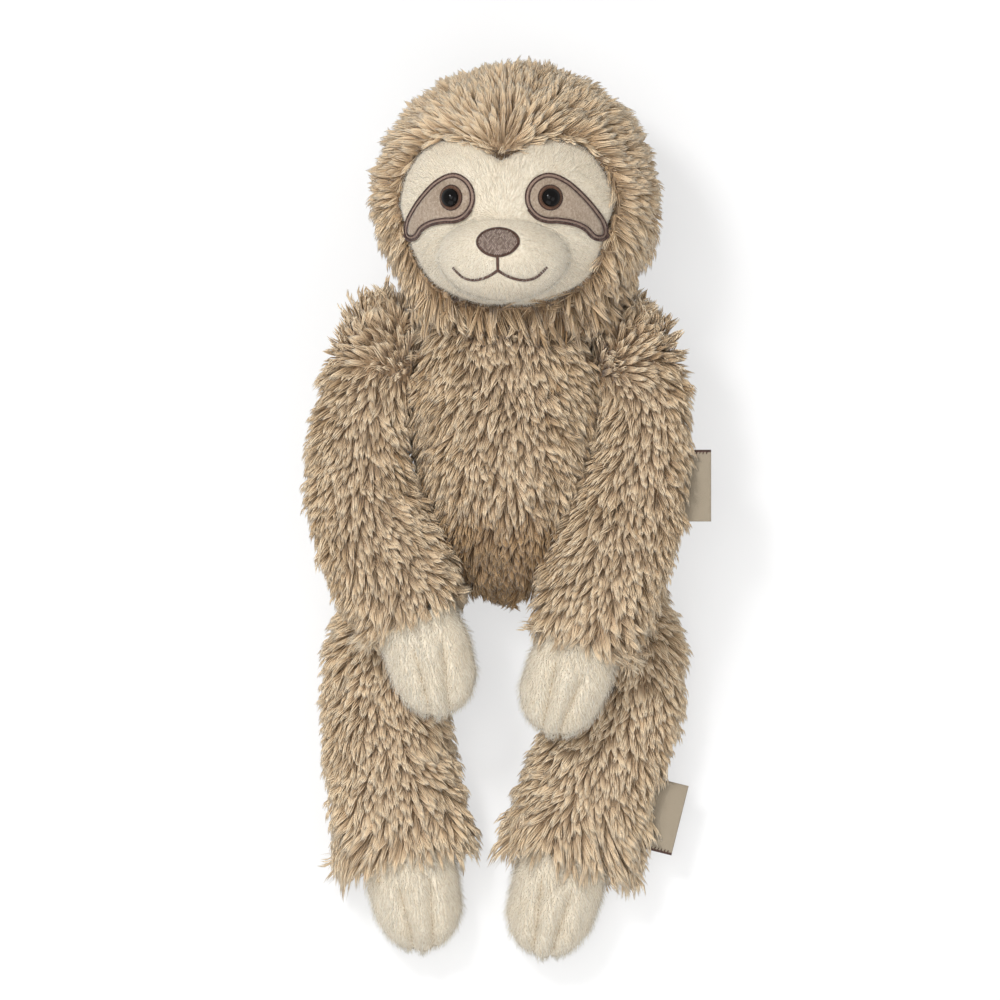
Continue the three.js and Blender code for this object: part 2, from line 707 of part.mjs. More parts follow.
function buildHead() {
  const group = bodyGroup(headCentre.x, headCentre.y, headCentre.z);
  group.rotation.y = THREE.MathUtils.degToRad(head.turnDegrees);
  const outline = faceOutline();
  const faceOpening = facePrism(outline);
  const faceSpace = facePrism(offsetOutline(outline, -seamGap));
  const insideCover = headForm(coverThickness, innerFacets);
  addPiece(group, 'head_cover', headForm(0).subtract(insideCover).subtract(faceOpening)
    .subtract(neckHole), longPile);

  let filling = headForm(coverThickness + seamGap, innerFacets);
  const panelInside = headForm(panelRecess + panelThickness, innerFacets);
  let panel = headForm(panelRecess).subtract(panelInside).intersect(faceSpace);
  const onPanel = headForm(panelRecess - seamGap);
  const embroideryOn = (thickness, prism) => headForm(panelRecess - seamGap - thickness)
    .subtract(onPanel)
    .intersect(prism);
  const keepOffMuzzle = muzzleForm(-seamGap);

  for (const [name, side] of Object.entries(sideSign)) {
    const flat = patchOutline(side);
    const shankHole = rodOnEye(side, eye.shankRadius + seamGap, -eye.shankLength - seamGap, eye.domeHeight);
    const patchSolid = embroideryOn(patch.thickness, facePrism(flat).intersect(faceSpace))
      .subtract(keepOffMuzzle)
      .subtract(shankHole);
    addPiece(group, `eye_patch_${name}`, patchSolid, patchFelt);
    const band = facePrism(offsetOutline(flat, seamGap + border.width))
      .subtract(facePrism(offsetOutline(flat, seamGap)))
      .intersect(faceSpace);
    const borderSolid = embroideryOn(border.thickness, band).subtract(keepOffMuzzle);
    addPiece(group, `eye_border_${name}`, borderSolid, brownThread);
    addPiece(group, `eye_${name}`, eyeSolid(side), blackPlastic);
    const ringLow = seamGap + patch.thickness + seamGap;
    addPiece(group, `eye_ring_${name}`, ringOnEye(
      side, eye.radius + seamGap, eye.radius + seamGap + eyeRing.width, ringLow, ringLow + eyeRing.thickness,
    ), brownThread);
    const washerFront = -panelThickness - seamGap;
    const washerBack = washerFront - washer.thickness;
    addPiece(group, `eye_washer_${name}`, ringOnEye(
      side, eye.shankRadius + seamGap, washer.radius, washerBack, washerFront,
    ), whitePlastic);
    const washerSeat = rodOnEye(side, washer.radius + seamGap, washerBack - seamGap, washerFront + seamGap);
    panel = panel.subtract(shankHole).subtract(washerSeat);
    filling = filling.subtract(shankHole).subtract(washerSeat);
  }
  addPiece(group, 'face_panel', panel, shortPile);
  addPiece(group, 'head_filling', filling, fibre);

  const muzzleSpace = faceSpace.subtract(onPanel);
  addPiece(group, 'muzzle_panel', muzzleForm(0).subtract(muzzleForm(panelThickness))
    .intersect(muzzleSpace), shortPile);
  addPiece(group, 'muzzle_filling', muzzleForm(panelThickness + seamGap).intersect(muzzleSpace), fibre);
  const onMuzzle = muzzleForm(-seamGap);
  addPiece(group, 'nose_embroidery', muzzleForm(-seamGap - nose.thickness).subtract(onMuzzle)
    .intersect(facePrism(noseOutline(), muzzleForward)), noseThread);
  addPiece(group, 'mouth_embroidery', muzzleForm(-seamGap - mouth.thickness).subtract(onMuzzle)
    .intersect(mouthPrism()), brownThread);
}

// Two stitched lines that divide a paw into three fingers or toes.
function fingerLines(part, size) {
  const length = part.total - part.seam;
  return fingerLineShares.map((across) => {
    const points = [];
    for (let k = 0; k <= lineSteps; k += 1) {
      const down = k / lineSteps;
      const reach = length * (fingerFromShare + (fingerToShare - fingerFromShare) * down);
      const along = (part.seam + reach) / part.total;
      const ahead = part.route.getTangentAt(along);
      const centre = part.route.getPointAt(along);
      const narrow = across * size.halfWidth * (1 - fingerNarrowShare * down ** 2);
      points.push(new THREE.Vector2(centre.x + ahead.y * narrow, centre.y - ahead.x * narrow));
    }
    return points;
  });
}

// A flat strip of even width along points, run up from the paw's middle height.
function standingStrip(points, width, low) {
  const geometry = new THREE.ExtrudeGeometry(new THREE.Shape(stripOutline(points, width)), {
    depth: farReach,
    bevelEnabled: false,
  });
  geometry.translate(0, 0, low);
  return solidOf(geometry);
}

// A line made longer at both ends by one clearance.
function lengthened(points, extra) {
  const [first, last] = [points[0].clone(), points.at(-1).clone()];
  first.addScaledVector(points[0].clone().sub(points[1]).normalize(), extra);
  last.addScaledVector(points.at(-1).clone().sub(points.at(-2)).normalize(), extra);
  return [first, ...points.slice(1, -1), last];
}

function buildPaw(group, part, size, names) {
  const low = part.route.getPointAt(1).z;
  const outer = part.lowerPart(0);
  const threadInside = part.lowerPart(stitch.depth, outerFacets, openOverrun);
  const grooveInside = part.lowerPart(stitch.depth + seamGap, outerFacets, openOverrun);
  let cover = outer.subtract(part.lowerPart(panelThickness, innerFacets, openOverrun));
  fingerLines(part, size).forEach((points, i) => {
    const thread = standingStrip(points, stitch.width, low).intersect(outer).subtract(threadInside);
    addPiece(group, names.stitches[i], thread, creamThread);
    const groove = standingStrip(lengthened(points, seamGap), stitch.width + 2 * seamGap, low);
    cover = cover.subtract(groove.subtract(grooveInside));
  });
  addPiece(group, names.cover, cover, shortPile);
  addPiece(group, names.filling, part.lowerPart(panelThickness + seamGap, innerFacets), fibre);
}

// A woven ribbon folded double, pointing out of a limb's side.
function labelSolid(seat, { length, turnDegrees }, extra = 0) {
  const thick = label.ply * 2 + seamGap;
  const shape = new THREE.Shape([
    new THREE.Vector2(-extra, thick / 2 + extra),
    new THREE.Vector2(-extra, -thick / 2 - extra),
    new THREE.Vector2(length + extra, -thick / 2 - extra),
    new THREE.Vector2(length + extra, thick / 2 + extra),
  ]);
  const depth = label.width + 2 * extra;
  const plies = new THREE.ExtrudeGeometry(shape, { depth, bevelEnabled: false });
  plies.rotateX(Math.PI / 2);
  plies.translate(0, depth / 2, 0);
  const between = new THREE.BoxGeometry(length - label.ply, label.width + cutOverrun, seamGap);
  between.translate((length - label.ply) / 2 - seamGap, 0, 0);
  for (const geometry of [plies, between]) {
    geometry.rotateZ(THREE.MathUtils.degToRad(turnDegrees));
    geometry.translate(seat.x, seat.y, seat.z);
  }
  return extra > 0 ? solidOf(plies) : solidOf(plies).subtract(solidOf(between));
}

// Where a label is sewn in: on the outer side of a limb, a little inside its surface.
function labelSeat(part, alongShare, size) {
  const along = part.route.getTangentAt(alongShare);
  const centre = part.route.getPointAt(alongShare);
  const [wide] = readTable(size.sectionShares, (alongShare * part.total) / part.seam);
  const reach = size.halfWidth * wide - label.sunk;
  const across = new THREE.Vector2(-along.y, along.x).normalize();
  return new THREE.Vector3(centre.x + across.x * reach, centre.y + across.y * reach, centre.z);
}

function buildArm(name) {
  const side = sideSign[name];
  const part = arms[name];
  const group = bodyGroup(sideX(side), shoulderY, shoulderHeight);
  let cover = armForm(name, 0)
    .subtract(armForm(name, coverThickness, innerFacets, openOverrun))
    .subtract(armhole(side));
  if (name === 'left') {
    const seat = labelSeat(part, armLabel.alongShare, sleeve);
    cover = cover.subtract(labelSolid(seat, armLabel, seamGap));
    addPiece(group, 'arm_label', labelSolid(seat, armLabel), ribbon);
  }
  addPiece(group, `arm_cover_${name}`, cover, longPile);
  addPiece(group, `arm_filling_${name}`, armForm(name, coverThickness + seamGap, innerFacets), fibre);
  buildPaw(group, part, paw, {
    cover: `hand_cover_${name}`,
    filling: `hand_filling_${name}`,
    stitches: [`finger_stitch_${name}_inner`, `finger_stitch_${name}_outer`],
  });
}

function buildLeg(name) {
  const side = sideSign[name];
  const part = legs[name];
  const group = bodyGroup(torso.shiftX + side * hipSpread, hipY, legZ);
  let cover = part.upperPart(0)
    .subtract(part.upperPart(coverThickness, innerFacets, openOverrun))
    .subtract(hipHole(side));
  if (name === 'left') {
    const seat = labelSeat(part, legLabel.alongShare, trouser);
    cover = cover.subtract(labelSolid(seat, legLabel, seamGap));
    addPiece(group, 'leg_label', labelSolid(seat, legLabel), ribbon);
  }
  addPiece(group, `leg_cover_${name}`, cover, longPile);
  addPiece(group, `leg_filling_${name}`, part.upperPart(coverThickness + seamGap, innerFacets), fibre);
  buildPaw(group, part, foot, {
    cover: `foot_cover_${name}`,
    filling: `foot_filling_${name}`,
    stitches: [`toe_stitch_${name}_inner`, `toe_stitch_${name}_outer`],
  });
}

buildTorso();
buildHead();
buildArm('right');
buildArm('left');
buildLeg('right');
buildLeg('left');

export default sloth;
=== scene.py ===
import math
import random

import bmesh
import bpy
import numpy as np
from mathutils import Matrix, Vector
from mathutils.bvhtree import BVHTree
from mathutils.geometry import delaunay_2d_cdt


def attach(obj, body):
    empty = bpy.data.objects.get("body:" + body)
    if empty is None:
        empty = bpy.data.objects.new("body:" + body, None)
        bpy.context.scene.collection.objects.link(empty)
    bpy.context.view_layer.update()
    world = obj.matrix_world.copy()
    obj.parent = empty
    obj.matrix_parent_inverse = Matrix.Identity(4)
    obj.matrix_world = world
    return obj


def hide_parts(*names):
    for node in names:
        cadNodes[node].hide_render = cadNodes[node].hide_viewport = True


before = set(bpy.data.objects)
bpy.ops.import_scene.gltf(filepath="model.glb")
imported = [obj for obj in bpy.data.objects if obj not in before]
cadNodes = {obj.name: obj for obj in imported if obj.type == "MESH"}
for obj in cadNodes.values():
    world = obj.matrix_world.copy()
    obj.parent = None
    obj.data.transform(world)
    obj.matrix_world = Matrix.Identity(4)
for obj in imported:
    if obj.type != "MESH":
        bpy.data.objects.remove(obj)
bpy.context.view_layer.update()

mm = 0.001
scene = bpy.context.scene
sides = {"right": -1, "left": 1}  # the toy's own right is at -X
white = (1, 1, 1)


# ---- helpers for nodes ----
def addNode(tree, kind, inputs=None, **settings):
    node = tree.nodes.new(kind)
    for key, value in settings.items():
        setattr(node, key, value)
    for key, value in (inputs or {}).items():
        if isinstance(value, bpy.types.NodeSocket):
            tree.links.new(value, node.inputs[key])
        else:
            node.inputs[key].default_value = value
    return node


def madeBy(tree, kind, inputs=None, output=0, **settings):
    return addNode(tree, kind, inputs, **settings).outputs[output]


def newGroup(name, kind, inputs, outputs):
    group = bpy.data.node_groups.new(name, f"{kind}NodeTree")
    for way, sockets in (("INPUT", inputs), ("OUTPUT", outputs)):
        for label, sort in sockets.items():
            group.interface.new_socket(label, in_out=way, socket_type=f"NodeSocket{sort}")
    return group, group.nodes.new("NodeGroupInput").outputs, group.nodes.new("NodeGroupOutput").inputs


def calc(tree, operation, *values, clamp=False):
    return madeBy(tree, "ShaderNodeMath", dict(enumerate(values)), operation=operation, use_clamp=clamp)


def times(tree, *values):
    product = values[-1]
    for value in values[-2::-1]:
        product = calc(tree, "MULTIPLY", value, product)
    return product


def noiseOf(tree, place=None, output=0, **look):
    inputs = {} if place is None else {"Vector": place}
    return madeBy(tree, "ShaderNodeTexNoise", {**inputs, **look}, output)


def mixColour(tree, share, first, second, blend="MULTIPLY"):
    return madeBy(tree, "ShaderNodeMix", {0: share, 6: first, 7: second}, 2, data_type="RGBA", blend_type=blend)


def rampOf(tree, value, *stops):
    node = addNode(tree, "ShaderNodeValToRGB", {0: value})
    while len(node.color_ramp.elements) < len(stops):
        node.color_ramp.elements.new(0.5)
    for element, (place, colour) in zip(node.color_ramp.elements, stops):
        element.position = place
        element.color = (*colour, 1)
    return node.outputs[0]


def startMaterial(name, **look):
    material = bpy.data.materials.new(name)
    material.use_nodes = True
    shader = material.node_tree.nodes["Principled BSDF"]
    for socket, value in look.items():
        shader.inputs[socket.replace("_", " ")].default_value = value
    return material, material.node_tree, shader


def finishShader(tree, shader, colour, height=None, strength=0.5, distance=0.4 * mm):
    tree.links.new(colour, shader.inputs["Base Color"])
    if height is not None:
        bump = madeBy(tree, "ShaderNodeBump", {"Strength": strength, "Distance": distance, "Height": height})
        tree.links.new(bump, shader.inputs["Normal"])


def objectPlaces(tree):
    return madeBy(tree, "ShaderNodeTexCoord", output="Object")


def attributeValue(tree, name):
    return madeBy(tree, "ShaderNodeAttribute", output="Fac", attribute_name=name)


# ---- helpers for meshes ----
def inScene(thing):
    scene.collection.objects.link(thing)
    return thing


def looseShape(name, points, faces):
    mesh = bpy.data.meshes.new(name)
    mesh.from_pydata([tuple(p) for p in points], [], [tuple(f) for f in faces])
    mesh.update()
    mesh.shade_smooth()
    return bpy.data.objects.new(name, mesh)


def meshPiece(name, points, faces):
    return inScene(looseShape(name, points, faces))


def tubeFaces(rings, around, first=0):
    # four-sided faces between rings of points
    faces = []
    for k in range(rings - 1):
        for j in range(around):
            a, b = first + k * around + j, first + k * around + (j + 1) % around
            faces.append((a, b, b + around, a + around))
    return faces


def faceOutwards(piece):
    shape = bmesh.new()
    shape.from_mesh(piece.data)
    bmesh.ops.recalc_face_normals(shape, faces=shape.faces)
    shape.to_mesh(piece.data)
    shape.free()


def readArray(items, key, width=1, kind=float):
    found = np.empty(len(items) * width, kind)
    items.foreach_get(key, found)
    return found.reshape(-1, width) if width > 1 else found


def pointArray(mesh):
    return readArray(mesh.vertices, "co", 3)


def normalArray(mesh):
    return readArray(mesh.vertex_normals, "vector", 3)


def surfaceOf(mesh):
    return pointArray(mesh), normalArray(mesh)


def movePoints(mesh, points):
    mesh.vertices.foreach_set("co", points.ravel())
    mesh.update()


def storeValues(mesh, **layers):
    for name, values in layers.items():
        values = np.asarray(values, np.float32)
        if values.ndim == 0:
            values = np.full(len(mesh.vertices), values)
        kind, key = ("FLOAT_VECTOR", "vector") if values.ndim == 2 else ("FLOAT", "value")
        layer = mesh.attributes.get(name) or mesh.attributes.new(name, kind, "POINT")
        layer.data.foreach_set(key, values.ravel())


def storeMap(mesh, name, places):
    corners = readArray(mesh.loops, "vertex_index", kind=np.int32)
    mesh.uv_layers.new(name=name).uv.foreach_set("vector", places[corners].astype(np.float32).ravel())


def evaluated(piece, name):
    # the piece with its modifiers, as a plain mesh
    depsgraph = bpy.context.evaluated_depsgraph_get()
    mesh = bpy.data.meshes.new_from_object(piece.evaluated_get(depsgraph), depsgraph=depsgraph)
    mesh.name = name
    piece.modifiers.clear()
    return mesh


def reshape(piece, kind, **settings):
    modifier = piece.modifiers.new(kind, kind)
    for key, value in settings.items():
        setattr(modifier, key, value)
    piece.data = evaluated(piece, piece.name)
    piece.data.shade_smooth()


def runTree(piece, tree, name, values):
    modifier = piece.modifiers.new(tree.name, "NODES")
    modifier.node_group = tree
    for socket in tree.interface.items_tree:
        if socket.in_out == "INPUT" and socket.name in values:
            modifier[socket.identifier] = values[socket.name]
    return evaluated(piece, name)


def finishPiece(piece, body, material, slot, *standsFor):
    piece.data.materials.clear()
    piece.data.materials.append(material)
    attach(piece, body)
    if standsFor:
        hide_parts(*standsFor)
    return piece


def smoothStep(value, low, high):
    share = np.clip((value - low) / (high - low), 0, 1)
    return share * share * (3 - 2 * share)


def unit(vectors):
    return vectors / np.maximum(np.linalg.norm(vectors, axis=-1, keepdims=True), 1e-9)


def alongSkin(way, normals, nudge=0.0):
    # directions laid down onto a skin
    return unit(way - normals * (way * normals).sum(1, keepdims=True) + nudge)


def columns(*parts):
    return np.stack(np.broadcast_arrays(*parts), 1)


# ---- camera: straight down on the toy, with a long lens ----
cameraLook = {"across": 390 * mm, "middleY": -19.5 * mm, "height": 11.0, "sharpAt": 60 * mm, "sensor": 36,
              "farthest": 40}
camera = inScene(bpy.data.objects.new("camera", bpy.data.cameras.new("camera")))
camera.location = (0, cameraLook["middleY"], cameraLook["height"])
camera.data.sensor_width = cameraLook["sensor"]
cameraReach = cameraLook["height"] - cameraLook["sharpAt"]
camera.data.lens = cameraLook["sensor"] * cameraReach / cameraLook["across"]
camera.data.clip_end = cameraLook["farthest"]
scene.camera = camera

# ---- pale floor, broad lamps and a dim even surround ----
stageLook = {"size": 3.0, "colour": 0.9, "roughness": 0.9, "floorShown": 0.6, "surround": 0.33}
lampLook = [
    # name, place, width, watts
    ("keyLamp", (-0.5, 0.6, 1.3), 0.28, 11),
    ("fillLamp", (0.75, -0.3, 1.2), 0.8, 4),
    ("lowLamp", (-0.4, -1.3, 1.0), 1.3, 9.5),
    ("frontLamp", (-0.8, 0.3, 4.3), 2.2, 52),
]


def seenRays(tree):
    # straight, mirrored and refracted rays show a white ground
    path = addNode(tree, "ShaderNodeLightPath").outputs
    seen = calc(tree, "MAXIMUM", path["Is Camera Ray"], path["Is Glossy Ray"])
    return calc(tree, "MAXIMUM", seen, path["Is Transmission Ray"])


def makeStage():
    half = stageLook["size"] / 2
    corners = [(-half, -half, 0), (half, -half, 0), (half, half, 0), (-half, half, 0)]
    floor = meshPiece("floor", corners, [(0, 1, 2, 3)])
    material, tree, shader = startMaterial("paleFloor", Roughness=stageLook["roughness"],
                                           Base_Color=(*[stageLook["colour"]] * 3, 1))
    glow = madeBy(tree, "ShaderNodeEmission", {"Color": (*white, 1), "Strength": 1.0})
    share = calc(tree, "MULTIPLY", seenRays(tree), stageLook["floorShown"])
    both = madeBy(tree, "ShaderNodeMixShader", {0: share, 1: shader.outputs[0], 2: glow})
    tree.links.new(both, tree.nodes["Material Output"].inputs["Surface"])
    floor.data.materials.append(material)

    scene.world = bpy.data.worlds.new("surround")
    scene.world.use_nodes = True
    tree = scene.world.node_tree
    light = tree.nodes["Background"].inputs
    level = madeBy(tree, "ShaderNodeMix", {0: seenRays(tree), 2: stageLook["surround"], 3: 1.0}, data_type="FLOAT")
    tree.links.new(level, light["Strength"])
    light["Color"].default_value = (*white, 1)

    for name, spot, width, watts in lampLook:
        lamp = inScene(bpy.data.objects.new(name, bpy.data.lights.new(name, "AREA")))
        lamp.data.energy = watts
        lamp.data.size = width
        lamp.location = spot
        lamp.rotation_euler = Vector(spot).to_track_quat("Z", "Y").to_euler()


scene.view_settings.view_transform = "Standard"
makeStage()
print("stage and camera ready")


# ---- fabric finishes ----
def napGroup():
    # streaks of brushed pile and broader patches, finer along the pile than across it
    group, given, result = newGroup("brushedNap", "Shader", {"Fineness": "Float", "Stretch": "Float"},
                                    {"Streaks": "Float", "Patches": "Float"})
    places = objectPlaces(group)
    squeeze = madeBy(group, "ShaderNodeCombineXYZ", {0: 1.0, 1: given["Stretch"], 2: 1.0})
    stretched = madeBy(group, "ShaderNodeVectorMath", {0: places, 1: squeeze}, operation="MULTIPLY")
    fine = noiseOf(group, stretched, Scale=given["Fineness"], Detail=3.0, Roughness=0.6, Distortion=0.4)
    group.links.new(fine, result["Streaks"])
    group.links.new(noiseOf(group, places, Scale=70.0, Detail=2.0), result["Patches"])
    return group


def hairGroup():
    # fine hairs side by side along a strand, as a grey that colours are multiplied by
    group, _, result = newGroup("hairLines", "Shader", {}, {"Hairs": "Color"})
    own = calc(group, "MULTIPLY", attributeValue(group, "shade"), 41.0)
    sideways = calc(group, "MULTIPLY_ADD", attributeValue(group, "across"), 2.4, own)
    place = madeBy(group, "ShaderNodeCombineXYZ", {0: sideways, 1: attributeValue(group, "along")})
    lines = noiseOf(group, place, Scale=1.7, Detail=2.0, Roughness=0.7)
    group.links.new(rampOf(group, lines, (0.33, (0.6, 0.53, 0.45)), (0.62, white)), result[0])
    return group


nap, hairLines = napGroup(), hairGroup()


def startCloth(name, roughness, sheen):
    return startMaterial(name, Roughness=roughness, Sheen_Weight=sheen, Sheen_Roughness=0.5, Specular_IOR_Level=0.08)


def pileMaterial(name, roughness, sheen, hairs, dark, light):
    # colour from root to tip, between a dark and a light strand; the darker roots are partly the pile's own colour and
    # partly painted shade deep in the pile
    material, tree, shader = startCloth(name, roughness, sheen)
    along = attributeValue(tree, "along")
    tone = attributeValue(tree, "shade")
    colour = mixColour(tree, tone, rampOf(tree, along, *dark), rampOf(tree, along, *light), "MIX")
    lines = madeBy(tree, "ShaderNodeGroup", node_tree=hairLines)
    finishShader(tree, shader, mixColour(tree, hairs, colour, lines))
    return material


def napMaterial(name, roughness, sheen, fineness, stretch, relief, low, high, shadow):
    # brushed cloth: streaks along the nap, and broader patches
    material, tree, shader = startCloth(name, roughness, sheen)
    brushed = addNode(tree, "ShaderNodeGroup", node_tree=nap)
    for socket, value in (("Fineness", fineness), ("Stretch", stretch)):
        brushed.inputs[socket].default_value = value
    streaks, patches = brushed.outputs
    colour = mixColour(tree, 1.0, rampOf(tree, streaks, (0.36, low), (0.62, high)),
                       rampOf(tree, patches, (0.3, shadow), (0.65, white)))
    finishShader(tree, shader, colour, streaks, relief)
    return material


def threadMaterial(name, roughness, low, high):
    # twisted thread: tone changes from stitch to stitch, with a fine twist along each
    material, tree, shader = startMaterial(name, Roughness=roughness, Sheen_Weight=0.2, Specular_IOR_Level=0.15)
    tone = rampOf(tree, attributeValue(tree, "shade"), (0.0, low), (1.0, high))
    twist = noiseOf(tree, objectPlaces(tree), Scale=2400.0, Detail=1.0)
    worn = rampOf(tree, twist, (0.35, (0.78, 0.78, 0.78)), (0.65, white))
    finishShader(tree, shader, mixColour(tree, 1.0, tone, worn))
    return material


def plasticMaterial(name, fineness, low, high, **look):
    material, tree, shader = startMaterial(name, **look)
    speck = noiseOf(tree, objectPlaces(tree), Scale=fineness, Detail=2.0)
    finishShader(tree, shader, rampOf(tree, speck, (0.3, low), (0.8, high)))
    return material


longPile = pileMaterial(
    "longPile", roughness=0.7, sheen=0.25, hairs=0.8,
    dark=[(0.0, (0.08, 0.038, 0.013)), (0.3, (0.27, 0.153, 0.066)), (0.65, (0.46, 0.3, 0.152)),
          (1.0, (0.63, 0.45, 0.258))],
    light=[(0.0, (0.61, 0.42, 0.235)), (0.3, (0.83, 0.62, 0.395)), (0.65, (0.96, 0.79, 0.56)),
           (1.0, (1.0, 0.91, 0.74))])
shortPile = pileMaterial(
    "shortPile", roughness=0.8, sheen=0.3, hairs=0.25,
    dark=[(0.0, (0.6, 0.5, 0.365)), (0.5, (0.76, 0.675, 0.53)), (1.0, (0.83, 0.77, 0.64))],
    light=[(0.0, (0.73, 0.64, 0.5)), (0.5, (0.88, 0.84, 0.73)), (1.0, (0.95, 0.93, 0.86))])
patchPile = pileMaterial(
    "patchPile", roughness=0.85, sheen=0.2, hairs=0.4,
    dark=[(0.0, (0.27, 0.205, 0.15)), (1.0, (0.4, 0.31, 0.235))],
    light=[(0.0, (0.36, 0.285, 0.21)), (1.0, (0.55, 0.45, 0.35))])
longPileBacking = napMaterial(
    "longPileBacking", roughness=0.9, sheen=0.1, fineness=900.0, stretch=0.3, relief=0.8,
    low=(0.16, 0.1, 0.055), high=(0.45, 0.32, 0.2), shadow=(0.8, 0.76, 0.72))
shortPileCloth = napMaterial(
    "shortPileCloth", roughness=0.85, sheen=0.35, fineness=1100.0, stretch=0.55, relief=0.5,
    low=(0.66, 0.57, 0.44), high=(0.8, 0.73, 0.6), shadow=(0.97, 0.95, 0.92))
patchCloth = napMaterial(
    "patchCloth", roughness=0.9, sheen=0.2, fineness=1300.0, stretch=0.7, relief=0.6,
    low=(0.3, 0.23, 0.17), high=(0.46, 0.37, 0.29), shadow=(0.88, 0.86, 0.84))
brownThread = threadMaterial("brownThread", 0.6, low=(0.06, 0.03, 0.022), high=(0.13, 0.07, 0.05))
noseThread = threadMaterial("noseThread", 0.6, low=(0.16, 0.105, 0.08), high=(0.46, 0.37, 0.31))
creamThread = threadMaterial("creamThread", 0.7, low=(0.5, 0.37, 0.23), high=(0.66, 0.53, 0.36))
borderThread = threadMaterial("borderThread", 0.6, low=(0.05, 0.022, 0.016), high=(0.4, 0.28, 0.22))
ringThread = threadMaterial("ringThread", 0.5, low=(0.05, 0.024, 0.016), high=(0.17, 0.085, 0.05))
blackPlastic = plasticMaterial("blackPlastic", 500.0, (0.002, 0.0015, 0.0015), (0.005, 0.004, 0.0035),
                               Roughness=0.04, Specular_IOR_Level=0.1)
whitePlastic = plasticMaterial("whitePlastic", 300.0, (0.7, 0.69, 0.66), (0.8, 0.79, 0.76), Roughness=0.45)


# ---- pile: tufts grown from a skin by geometry nodes ----
strandBend = 1.45  # how far over a strand has bent at its tip, in radians


def addStrand(store, own, root, length, tipSide, rise, rings, width):
    # one pointed strand of three sides, from its root at x = 0 out along x
    first = len(store["points"])

    def addPoint(place, t, across):
        for name, value in (("points", place), ("along", t), ("across", across), ("own", own)):
            store[name].append(value)

    for k in range(rings + 1):
        t = k / (rings + 0.45)
        x = root[0] + length * t * (1 - 0.1 * t)
        y = root[1] + (tipSide - root[1]) * t * t
        z = rise * math.sin(strandBend * t) - 0.06 * (k == 0)
        swell = width * (0.5 + 1.1 * t - 0.95 * t * t)
        for across, high in ((-1, -0.5), (1, -0.5), (0, 1)):
            addPoint((x, y + across * swell, z + high * 0.045), t, across)
    addPoint((root[0] + length * 0.9, tipSide, rise * math.sin(strandBend)), 1.0, 0.0)
    last = first + 3 * rings
    tip = [(last + j, last + (j + 1) % 3, last + 3) for j in range(3)]
    store["faces"] += [(first, first + 1, first + 2)] + tubeFaces(rings + 1, 3, first) + tip


def storeShape(name, store):
    # a small shape that a tree repeats, with its places along and across itself
    piece = looseShape(name, store["points"], store["faces"])
    storeValues(piece.data, along=store["along"], across=store["across"], own=store["own"])
    faceOutwards(piece)
    return piece


def tuftSet(name, tufts):
    collection = bpy.data.collections.new(name)
    for i, strands in enumerate(tufts):
        store = {"points": [], "faces": [], "along": [], "across": [], "own": []}
        chance = random.Random(i)
        for strand in strands:
            addStrand(store, chance.uniform(-1, 1), *strand)
        collection.objects.link(storeShape(f"{name}{i}", store))
    return collection


def lockStrands(seed):
    # a lock: bent strands side by side that draw together at the tip, with straight ones under them
    chance = random.Random(seed)
    bend = chance.uniform(-0.5, 0.5)
    strands = []
    for side in (-0.9, -0.45, 0.0, 0.45, 0.9):
        rise = (1 - 0.28 * side * side) * chance.uniform(0.88, 1.06)
        tip = side * 0.4 + bend + chance.uniform(-0.14, 0.14)
        root = (chance.uniform(0, 0.12), side)
        strands.append((root, chance.uniform(0.85, 1.0) - 0.1 * abs(side), tip, rise, 1, 0.26))
    for side in (-0.7, -0.2, 0.25, 0.7):
        tip = side * 0.5 + bend * 0.8 + chance.uniform(-0.2, 0.2)
        root = (chance.uniform(-0.05, 0.2), side)
        strands.append((root, chance.uniform(0.7, 0.95), tip, chance.uniform(0.5, 0.8), 0, 0.34))
    return strands


def underStrand(seed):
    chance = random.Random(seed)
    return [((0, 0), chance.uniform(0.5, 0.75), chance.uniform(-0.5, 0.5), chance.uniform(0.5, 0.9), 0, 0.55)]


longTufts = tuftSet("longTuft", [lockStrands(k) for k in range(6)])
underTufts = tuftSet("underTuft", [underStrand(k) for k in range(6)])
shortTufts = tuftSet("shortTuft", [[((0, 0), 1.0, side, 1.0, 0, 0.5)] for side in (-0.5, 0.0, 0.5)])


def named(tree, name, kind="FLOAT"):
    return madeBy(tree, "GeometryNodeInputNamedAttribute", {"Name": name}, data_type=kind)


def standing(tree, up, way):
    # stands up along one direction and points along another
    kind = "FunctionNodeAlignRotationToVector"
    turned = madeBy(tree, kind, {"Vector": up}, axis="Z")
    return madeBy(tree, kind, {"Rotation": turned, "Vector": way}, axis="X", pivot_axis="Z")


def finishTree(tree, grown, tone, finish, result):
    # the grown or sewn instances with their tone, as one mesh with its material
    toned = madeBy(tree, "GeometryNodeStoreNamedAttribute", {"Geometry": grown, "Name": "shade", "Value": tone},
                   data_type="FLOAT", domain="INSTANCE")
    solid = madeBy(tree, "GeometryNodeRealizeInstances", {0: toned})
    tree.links.new(madeBy(tree, "GeometryNodeSetMaterial", {"Geometry": solid, "Material": finish}), result[0])
    return tree


